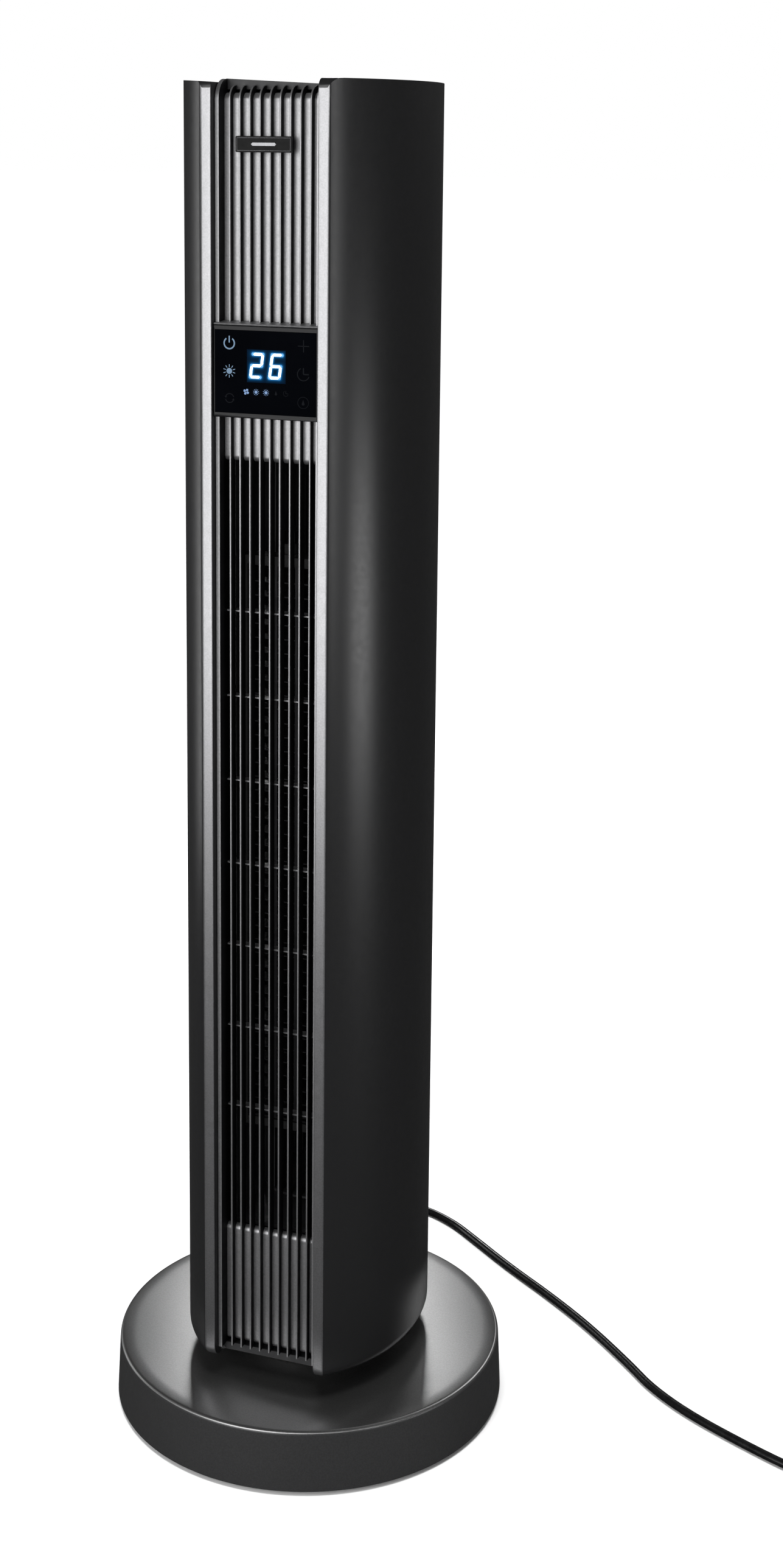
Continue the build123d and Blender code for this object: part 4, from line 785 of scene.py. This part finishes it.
def inlay(mesh, outline, y, material=0):
    """Very thin printed or lit shape on the glass; outline is (x, z) about the glass's middle."""
    points = [(x, GLASS_MIDDLE + z) for x, z in outline]
    area = sum(a[0] * b[1] - b[0] * a[1] for a, b in zip(points, points[1:] + points[:1]))
    if area < 0:
        points.reverse()
    front = [mesh.verts.new((x, y - INLAY_DEPTH, z)) for x, z in points]
    back = [mesh.verts.new((x, y, z)) for x, z in points]
    add_face(mesh, front, material)
    add_face(mesh, back[::-1], material)
    for i in range(len(points)):
        j = (i + 1) % len(points)
        add_face(mesh, (front[i], back[i], back[j], front[j]), material)


def digits():
    """Lit segments with pointed ends."""
    mesh = bmesh.new()
    half = SEGMENT_WIDTH / 2
    shoulder = half + SEGMENT_GAP
    for (xa, za), (xb, zb) in lit_lines():
        length = hypot(xb - xa, zb - za)
        ux, uz = (xb - xa) / length, (zb - za) / length
        upright_outline = (
            (SEGMENT_GAP, 0), (shoulder, -half), (length - shoulder, -half),
            (length - SEGMENT_GAP, 0), (length - shoulder, half), (shoulder, half),
        )
        inlay(mesh, [
            slanted(xa + ux * along - uz * aside, za + uz * along + ux * aside)
            for along, aside in upright_outline
        ], DIGIT_Y)
    outward(mesh)
    return piece("digit_segments", mesh, "column", ["digit_light"])


def digit_window():
    """Window over the digits; its glow attribute fades with distance from the lit segments."""
    low, high = (-13.0, -6.6), (14.7, 15.3)
    steps_x, steps_z = 92, 72
    near_glow, near_reach, far_glow, far_reach = 0.75, 0.75, 0.30, 3.0
    border_share, border_width = 0.4, 2.0
    mesh = bmesh.new()
    glow = mesh.verts.layers.float.new("glow")
    lines = [(slanted(*a), slanted(*b)) for a, b in lit_lines()]

    def brightness(x, z):
        nearest = 100.0
        for (xa, za), (xb, zb) in lines:
            length = (xb - xa) ** 2 + (zb - za) ** 2
            t = max(0.0, min(1.0, ((x - xa) * (xb - xa) + (z - za) * (zb - za)) / length))
            nearest = min(nearest, hypot(x - xa - t * (xb - xa), z - za - t * (zb - za)))
        beyond = max(0.0, nearest - SEGMENT_WIDTH / 2)
        edge = min(x - low[0], high[0] - x, z - low[1], high[1] - z)
        fade = min(1.0, border_share + edge / border_width)
        return near_glow * exp(-beyond / near_reach) + far_glow * exp(-beyond / far_reach) * fade

    rows = []
    for z in even(low[1], high[1], steps_z):
        row = []
        for x in even(low[0], high[0], steps_x):
            vert = mesh.verts.new((x, WINDOW_Y, GLASS_MIDDLE + z))
            vert[glow] = brightness(x, z)
            row.append(vert)
        rows.append(row)
    for a, b in zip(rows, rows[1:]):
        for i in range(steps_x):
            add_face(mesh, (a[i], a[i + 1], b[i + 1], b[i]), 0)
    made = piece("digit_window", mesh, "column", ["digit_halo"])
    return thicken(made, 0.04)


ICON_X = 26.4
ICON_PITCH = 18.8
SMALL_ROW = -13.0
SMALL_PITCH = 7.1
SMALL_LEFT = -13.5


def stroke(mesh, start, end, width, material):
    """Straight line between two (x, z) points."""
    (xa, za), (xb, zb) = start, end
    length = hypot(xb - xa, zb - za)
    nx, nz = -(zb - za) / length * width / 2, (xb - xa) / length * width / 2
    corners = [(xa + nx, za + nz), (xa - nx, za - nz), (xb - nx, zb - nz), (xb + nx, zb + nz)]
    inlay(mesh, corners, GLASS_Y, material)


def band(mesh, centre, radius, width, start, end, material, steps=40):
    """Part of a flat ring, with angles in degrees."""
    outer = arc(centre, radius + width / 2, start, end, steps)
    inner = arc(centre, radius - width / 2, start, end, steps)
    inlay(mesh, outer + inner[::-1], GLASS_Y, material)


def power_icon(mesh, x, z, material):
    band(mesh, (x, z), 3.7, 0.95, 125, 415, material)
    stroke(mesh, (x, z + 0.4), (x, z + 4.9), 0.85, material)


def sun_icon(mesh, x, z, scale, material):
    inlay(mesh, circle(28, 2.0 * scale, (x, z)), GLASS_Y, material)
    rays = 10
    for i in range(rays):
        angle = pi / 2 + 2 * pi * i / rays
        ends = [(x + r * scale * cos(angle), z + r * scale * sin(angle)) for r in (2.7, 4.4)]
        stroke(mesh, *ends, 0.5 * scale, material)


def turning_icon(mesh, x, z, material):
    radius, sweep, half, length = 3.0, 140, 0.9, 1.2
    for start, down in ((15, 1), (195, -1)):
        end = radians(start + sweep)
        band(mesh, (x, z), radius, 0.55, start, start + sweep, material)
        tip_x, tip_z = x + radius * cos(end), z + radius * sin(end)
        head = [(tip_x - half, tip_z), (tip_x + half, tip_z), (tip_x, tip_z - down * length)]
        inlay(mesh, head, GLASS_Y, material)


def plus_icon(mesh, x, z, material):
    reach, width = 4.0, 0.6
    stroke(mesh, (x - reach, z), (x + reach, z), width, material)
    stroke(mesh, (x, z - reach), (x, z + reach), width, material)


def clock_icon(mesh, x, z, scale, material):
    band(mesh, (x, z), 4.2 * scale, 0.6 * scale, 115, 340, material)
    stroke(mesh, (x, z), (x, z + 4.2 * scale), 0.8 * scale, material)
    stroke(mesh, (x, z), (x + 3.8 * scale, z), 0.8 * scale, material)


def drop_icon(mesh, x, z, size, material):
    outline = arc((x, z), size, 200, 340, 14) + [(x, z + 2.4 * size)]
    inlay(mesh, outline, GLASS_Y, material)


def fan_icon(mesh, x, z, size, material):
    """Four swept blades."""
    for i in range(4):
        turn = radians(90 * i)
        blade = []
        for a, r in ((10, 0.25), (30, 0.8), (55, 1.0), (85, 0.9), (100, 0.5), (80, 0.2)):
            angle = turn + radians(a)
            blade.append((x + size * r * cos(angle), z + size * r * sin(angle)))
        inlay(mesh, blade, GLASS_Y, material)


def icons():
    """Printed touch icons and the small lit status row."""
    mesh = bmesh.new()
    bright, small, dim = 0, 1, 2
    power_icon(mesh, -ICON_X + 0.7, ICON_PITCH, bright)
    sun_icon(mesh, -ICON_X + 0.7, 0.3, 1.0, bright)
    turning_icon(mesh, -ICON_X + 0.9, -ICON_PITCH + 1.0, dim)
    plus_icon(mesh, ICON_X + 0.9, ICON_PITCH, dim)
    clock_icon(mesh, ICON_X + 0.9, 0.3, 1.0, dim)
    for start in (0, 180):
        band(mesh, (ICON_X + 0.8, -ICON_PITCH + 0.3), 3.8, 0.3, start, start + 180, dim, 20)
    drop_icon(mesh, ICON_X + 0.8, -ICON_PITCH - 0.3, 1.1, dim)
    fan_icon(mesh, SMALL_LEFT, SMALL_ROW, 2.2, small)
    sun_icon(mesh, SMALL_LEFT + SMALL_PITCH, SMALL_ROW, 0.5, small)
    sun_icon(mesh, SMALL_LEFT + 2 * SMALL_PITCH, SMALL_ROW, 0.5, small)
    drop_icon(mesh, SMALL_LEFT + 3 * SMALL_PITCH, SMALL_ROW - 0.6, 0.9, dim)
    clock_icon(mesh, SMALL_LEFT + 4 * SMALL_PITCH, SMALL_ROW, 0.42, dim)
    outward(mesh)
    lights = ["icon_bright", "icon_small", "icon_dim"]
    return piece("display_icons", mesh, "column", lights)


# ------------------------ badge
def badge():
    """Blank plate on the fins with a slim silver border and a plain lozenge."""
    mesh = bmesh.new()
    low, high = BADGE_LOW, BADGE_HIGH
    slab(mesh, low, high, 0.9)
    face_y = low.y
    middle_x, middle_z = (low.x + high.x) / 2, (low.z + high.z) / 2
    margin, line, height, sunk = 1.0, 0.22, 0.25, 0.1
    half_x, half_z = (high.x - low.x) / 2 - margin, (high.z - low.z) / 2 - margin
    in_x, in_z = half_x - line, half_z - line

    def raised(outline):
        points = [(middle_x + x, middle_z + z) for x, z in outline]
        loft(mesh, [[(x, y, z) for x, z in points] for y in (face_y - height, face_y + sunk)], 1)

    for x0, x1, z0, z1 in (
        (-half_x, half_x, in_z, half_z), (-half_x, half_x, -half_z, -in_z),
        (-half_x, -in_x, -in_z, in_z), (in_x, half_x, -in_z, in_z),
    ):
        raised([(x0, z0), (x1, z0), (x1, z1), (x0, z1)])
    reach, rise = 9.0, 1.1
    shoulder = reach - rise
    lower = [(-reach, 0), (-shoulder, -rise), (shoulder, -rise)]
    raised(lower + [(reach, 0), (shoulder, rise), (-shoulder, rise)])
    outward(mesh)
    finish = ["badge_black", "badge_metal"]
    made = piece("badge_blank", mesh, "column", finish, ["badge_plate"])
    return bevel(made, 0.1)


# ------------------------ base
def base_shell():
    """Turned cover of the base: drafted side, rounded rim and flat top."""
    mesh = bmesh.new()
    low, top = COVER_LOW.z, COVER_HIGH.z
    foot, rim, rim_radius = BASE_RADIUS, BASE_RADIUS - BASE_DRAFT, 3.0
    hole = span("swivel_bush")[1].x
    break_edge, collar, collar_depth = 0.6, 6, 14
    side = [(foot, low), (foot - 0.25, low + 6), (rim + 0.7, top - 16)]
    side.append((rim + 0.08, top - rim_radius - 1.2))
    edge = arc((rim - rim_radius, top - rim_radius), rim_radius, 2, 90, 9)
    flat = [(rim - 12, top), (rim - 40, top), (60.0, top)]
    flat += [(hole + break_edge, top), (hole, top - break_edge)]
    under = [(hole, top - collar_depth), (hole + collar, top - collar_depth)]
    under += [(hole + collar, top - WALL), (rim - WALL, top - WALL)]
    lathe(mesh, [(foot - WALL, low)] + side + edge + flat + under, 288)
    outward(mesh)
    # Faces below this height take the darker copy: painted shade on the side of the base
    shade_below_z = top - rim_radius * 0.55
    for face in mesh.faces:
        face.material_index = 0 if face.calc_center_median().z > shade_below_z else 1
    finish = ["base_metallic", "base_side"]
    made = piece("base_shell", mesh, "base", finish, ["base_cover"], 30.0)
    return bevel(made, 0.4)


# ------------------------ mains lead
CORD_ROUTE = [
    (-71.8, 197.4, 8.0),
    (-75.9, 230.1, 3.6),
    (-61.4, 259.8, 3.3),
    (-32.9, 274.9, 3.3),
    (0.0, 275.0, 3.3),
    (31.0, 259.8, 3.3),
    (56.0, 239.5, 3.3),
    (98.0, 205.0, 3.3),
    (141.0, 173.5, 3.3),
    (183.0, 139.0, 3.3),
    (226.0, 97.0, 3.3),
    (247.0, 74.0, 3.3),
    (280.0, 50.0, 3.3),
    (325.0, 27.0, 3.3),
    (366.0, 8.5, 3.6),
    (404.0, -1.5, 4.4),
]
TAIL_ROUTE = [
    (457.5, 36.0, 9.6),
    (460.5, 53.0, 6.4),
    (467.0, 70.0, 5.4),
    (472.0, 87.0, 8.0),
]


def cover_radius(z):
    """Radius of the base's drafted side at a height."""
    return BASE_RADIUS - BASE_DRAFT * (z - COVER_LOW.z) / (COVER_HIGH.z - COVER_LOW.z)


def exit_point(beyond):
    """Point on the axis of the cord's exit, some way out of the wall."""
    radius = cover_radius(CORD_EXIT_Z) + beyond
    return Vector((radius * cos(CORD_EXIT_ANGLE), radius * sin(CORD_EXIT_ANGLE), CORD_EXIT_Z))


COIL_START = radians(-97.0)
COIL_STOPS = [  # turns from the start, radius, z
    (0.0, 41.6, 4.2),
    (2.0, 29.1, 4.2),
    (2.4, 27.0, 6.2),
    (2.8, 28.0, 10.2),
    (5.24, 43.3, 10.2),
]


def coil_turns():
    """Points of the wound lead: a lower layer spiralling in, then an upper layer spiralling out."""
    per_turn = 14
    points = []
    for i in range(1, int(COIL_STOPS[-1][0] * per_turn) + 1):
        turn = i / per_turn
        k = max(n for n in range(len(COIL_STOPS) - 1) if COIL_STOPS[n][0] <= turn + 1e-9)
        (t0, r0, z0), (t1, r1, z1) = COIL_STOPS[k], COIL_STOPS[k + 1]
        share = (turn - t0) / (t1 - t0)
        radius, z = r0 + share * (r1 - r0), z0 + share * (z1 - z0)
        angle = COIL_START + 2 * pi * turn
        points.append((COIL_CENTRE.x + radius * cos(angle), COIL_CENTRE.y + radius * sin(angle), z))
    return points


def cord_line():
    """Every control point of the lead, from the strain relief's tip to the plug."""
    return [tuple(exit_point(RELIEF_LENGTH)), *CORD_ROUTE, *coil_turns(), *TAIL_ROUTE]


def power_lead():
    """Mains lead: one smooth curve along the route."""
    data = bpy.data.curves.new("power_lead", "CURVE")
    data.dimensions = "3D"
    data.resolution_u = 10
    data.bevel_depth = CORD_DIAMETER / 2 * MM
    data.bevel_resolution = 6
    data.use_fill_caps = True
    points = cord_line()
    spline = data.splines.new("NURBS")
    spline.points.add(len(points) - 1)
    for control, place in zip(spline.points, points):
        control.co = (*(Vector(place) * MM), 1.0)
    spline.order_u = 3
    spline.use_endpoint_u = True
    spline.use_smooth = True
    data.materials.append(MATERIALS["cord_jacket"].material)
    lead = linked("power_lead", data)
    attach(lead, "base")
    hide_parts("power_cord", "cord_coil", "cord_tail")


def relief_boot():
    """Tapered, ribbed boot round the lead where it leaves the base."""
    mesh = bmesh.new()
    root, tip, length = 7.4, 4.0, RELIEF_LENGTH
    neck, grooves, first_groove, groove_pitch = 5.9, 5, 7.6, 4.6
    profile = [(-3.0, neck), (0.5, neck), (0.5, root - 0.4), (0.9, root), (6.5, root - 0.7)]
    for i in range(grooves):
        z = first_groove + i * groove_pitch
        wide = root - (root - tip) * z / length
        narrow = wide - 1.0
        profile += [(z, wide), (z + 0.35, narrow), (z + 1.35, narrow), (z + 1.7, wide - 0.12)]
        profile.append((z + 3.2, wide - 0.35))
    profile += [(length - 0.8, tip + 0.1), (length - 0.15, tip - 0.25), (length, CORD_DIAMETER / 2)]
    turn = Matrix.Rotation(CORD_EXIT_ANGLE, 3, "Z")
    rings = []
    for along, radius in profile:
        centre = exit_point(along)
        rings.append([centre + turn @ Vector((0, y, z)) for y, z in circle(36, radius)])
    loft(mesh, rings)
    outward(mesh)
    return piece("strain_relief_boot", mesh, "base", ["rubber"], ["strain_relief"], 50.0)


def plug_frame():
    """Middle of the plug and the direction it points, from the end of the lead."""
    end, before = Vector(TAIL_ROUTE[-1]), Vector(TAIL_ROUTE[-2])
    heading = Vector((end.x - before.x, end.y - before.y, 0)).normalized()
    return end, heading


def superellipse(count, half_x, half_y, power):
    """Points round an oval that is squarer the higher its power is."""
    def pulled(share):
        return abs(share) ** (2 / power) * (1 if share >= 0 else -1)

    return [(half_x * pulled(c), half_y * pulled(s)) for c, s in circle(count, 1.0)]


def plug_piece():
    """Angled two-pin plug lying on its back: round body with earth recesses, boot and pins."""
    mesh = bmesh.new()
    end, heading = plug_frame()
    boot_length, radius, height = 16.0, 18.5, 18.0
    roll, notch_depth, notch_half, notch_height, edge = 3.0, 2.2, 3.0, 8.0, 1.2
    centre = end + heading * (boot_length + radius - 2)
    turn = Matrix.Rotation(atan2(heading.y, heading.x), 3, "Z")

    def place(x, y, z):
        return Vector((centre.x, centre.y, 0)) + turn @ Vector((x, y, z))

    profile = [(radius - roll, 0.0)] + arc((radius - roll, roll), roll, -75, 0, 6)
    profile += [(radius, 6.0), (radius - 0.5, 6.6), (radius - 0.5, 8.0), (radius, 8.6)]
    profile += [(radius, height - edge)] + arc((radius - edge, height - edge), edge, 15, 90, 5)
    profile += [(radius - 4.5, height), (radius - 5.0, height - 0.5)]
    rings = []
    for r, z in profile:
        ring = []
        for x, y in circle(96, r):
            if z > height - notch_height and abs(y) > radius - 4:
                notch = max(0.0, 1 - (abs(x) / notch_half) ** 6)
                y -= (1 if y > 0 else -1) * notch_depth * notch
            ring.append(place(x, y, z))
        rings.append(ring)
    loft(mesh, rings)
    start = -boot_length - radius + 2
    boot = [
        (0.0, 3.15, 3.15), (0.3, 4.1, 4.1), (3.5, 4.3, 4.2), (4.0, 3.6, 3.5), (5.2, 3.6, 3.5),
        (5.7, 4.7, 4.5), (8.5, 5.0, 4.8), (9.0, 4.2, 4.0), (10.2, 4.2, 4.0), (10.7, 5.6, 5.3),
        (14.0, 6.4, 6.0), (17.0, 7.4, 6.7), (20.0, 8.5, 7.2),
    ]
    rings = []
    for x, half_y, half_z in boot:
        section = superellipse(40, half_y, half_z, 2.3)
        rings.append([place(start + x, y, end.z + z) for y, z in section])
    loft(mesh, rings)
    pin_y, sleeve_end = 9.5, height + 9.2
    sleeve = [(height - 1, 2.35), (sleeve_end - 0.2, 2.35), (sleeve_end, 2.25)]
    bare = [(sleeve_end, 2.3), (height + 16.6, 2.3), (height + 17.6, 1.8), (height + 18.0, 1.0)]
    for y0 in (-pin_y, pin_y):
        for outline, material in ((sleeve, 0), (bare, 1)):
            rings = [[place(x, y, z) for x, y in circle(24, r, (0.0, y0))] for z, r in outline]
            loft(mesh, rings, material)
    outward(mesh)
    finish = ["cord_jacket", "steel"]
    return piece("plug_body", mesh, "base", finish, ["mains_plug"], 40.0)


def coil_tie():
    """Woven strap round the wound turns."""
    mesh = bmesh.new()
    angle = radians(60.0)
    radius, width = 35.0, 12.0
    ring_width, ring_height, low, slack, outside = 20.8, 12.4, 0.05, 0.1, 0.95
    out = Vector((cos(angle), sin(angle), 0))
    along = Vector((-sin(angle), cos(angle), 0))
    middle = COIL_CENTRE + out * radius
    half_z = ring_height / 2 + outside
    outer = superellipse(64, ring_width / 2 + outside, half_z, 5.0)
    inner = superellipse(64, ring_width / 2 + slack, ring_height / 2 + slack, 5.0)
    lifted = middle + Vector((0, 0, low + half_z))
    rings = []
    for outline, offset in ((outer, -1), (outer, 1), (inner, 1), (inner, -1)):
        edge = lifted + along * (offset * width / 2)
        rings.append([edge + out * x + Vector((0, 0, z)) for x, z in outline])
    loft(mesh, rings, close=True)
    outward(mesh)
    made = piece("cord_strap", mesh, "base", ["tie_strap"], ["cord_tie"], 50.0)
    return bevel(made, 0.15)


# ------------------------ carried-over CAD nodes
def dress_cad_nodes():
    """Gives every CAD node that stays the material of its slot."""
    slots = {row["node"]: row["material_slot"] for row in frame["record"]["subparts"]}
    for name, node in NODES.items():
        if node.hide_render:
            continue
        node.data.materials.clear()
        node.data.materials.append(MATERIALS[slots[name]].material)


# ------------------------ floor and light
def background():
    """World that the camera sees white, and that lights the object only faintly."""
    world = bpy.data.worlds.new("studio")
    world.use_nodes = True
    tree = world.node_tree
    seen, shade = tree.nodes["Background"], tree.nodes.new("ShaderNodeBackground")
    put(seen, Color=(1, 1, 1, 1))
    put(shade, Color=(1, 1, 1, 1), Strength=0.045)
    rays, mix = tree.nodes.new("ShaderNodeLightPath"), tree.nodes.new("ShaderNodeMixShader")
    tree.links.new(rays.outputs["Is Camera Ray"], mix.inputs["Fac"])
    tree.links.new(shade.outputs["Background"], mix.inputs[1])
    tree.links.new(seen.outputs["Background"], mix.inputs[2])
    tree.links.new(mix.outputs["Shader"], tree.nodes["World Output"].inputs["Surface"])
    bpy.context.scene.world = world


def pale_floor():
    """Wide level floor that fades into the background."""
    mesh = bmesh.new()
    bmesh.ops.create_grid(mesh, x_segments=8, y_segments=8, size=60.0)
    data = bpy.data.meshes.new("floor")
    mesh.to_mesh(data)
    mesh.free()
    floor = linked("floor", data)
    floor.visible_glossy = False
    pale = Shader("pale_floor", (0.92, 0.92, 0.92), 0.9, 0.0, 0.0).mottle(3.0, 0.01)
    data.materials.append(pale.material)


def studio():
    """Background, floor, an overhead sun and softboxes round the object."""
    bpy.context.scene.view_settings.view_transform = "Standard"
    background()
    pale_floor()
    sun = bpy.data.lights.new("overhead", "SUN")
    sun.energy = 3.4
    sun.angle = radians(30)
    linked("overhead", sun).visible_glossy = False
    softbox("key", (-0.38, -1.50, 0.95), (0, -0.09, 0.85), (1.15, 1.5), 24)
    softbox("behind", (-0.72, 1.85, 1.25), (0, 0, 0.05), (0.5, 0.3), 6.5)
    softbox("right", (2.0, -0.2, 0.20), (0, 0, 0.5), (0.6, 0.4), 6.0)
    softbox("edge", (1.68, -1.09, 0.75), (0.04, 0, 0.75), (0.12, 1.1), 5.0)
    softbox("left", (-2.0, 0.35, 0.5), (0, 0, 0.5), (0.3, 1.4), 4.0)
    softbox("rear", (1.1, 2.1, 1.9), (0, 0, 0.5), (1.2, 0.8), 14)
    softbox("low", (-0.45, -1.3, 0.25), (0, -0.09, 0.15), (1.2, 0.3), 3.0)


def softbox(name, place, target, size, power):
    """Rectangular light that faces a point and isn't seen by the camera."""
    data = bpy.data.lights.new(name, "AREA")
    data.shape = "RECTANGLE"
    data.size, data.size_y = size
    data.energy = power
    light = linked(name, data)
    light.location = place
    light.rotation_euler = (Vector(target) - Vector(place)).to_track_quat("-Z", "Y").to_euler()
    light.visible_camera = False


# ------------------------ build
MATERIALS = make_materials()
make_camera()
boot = relief_boot()
plug = plug_piece()
tie = coil_tie()
power_lead()
side_panel("left_side_panel", -1)
side_panel("right_side_panel", 1)
front_insert()
display_frame()
display_window()
digit_window()
digits()
icons()
badge()
base_shell()
studio()
dress_cad_nodes()
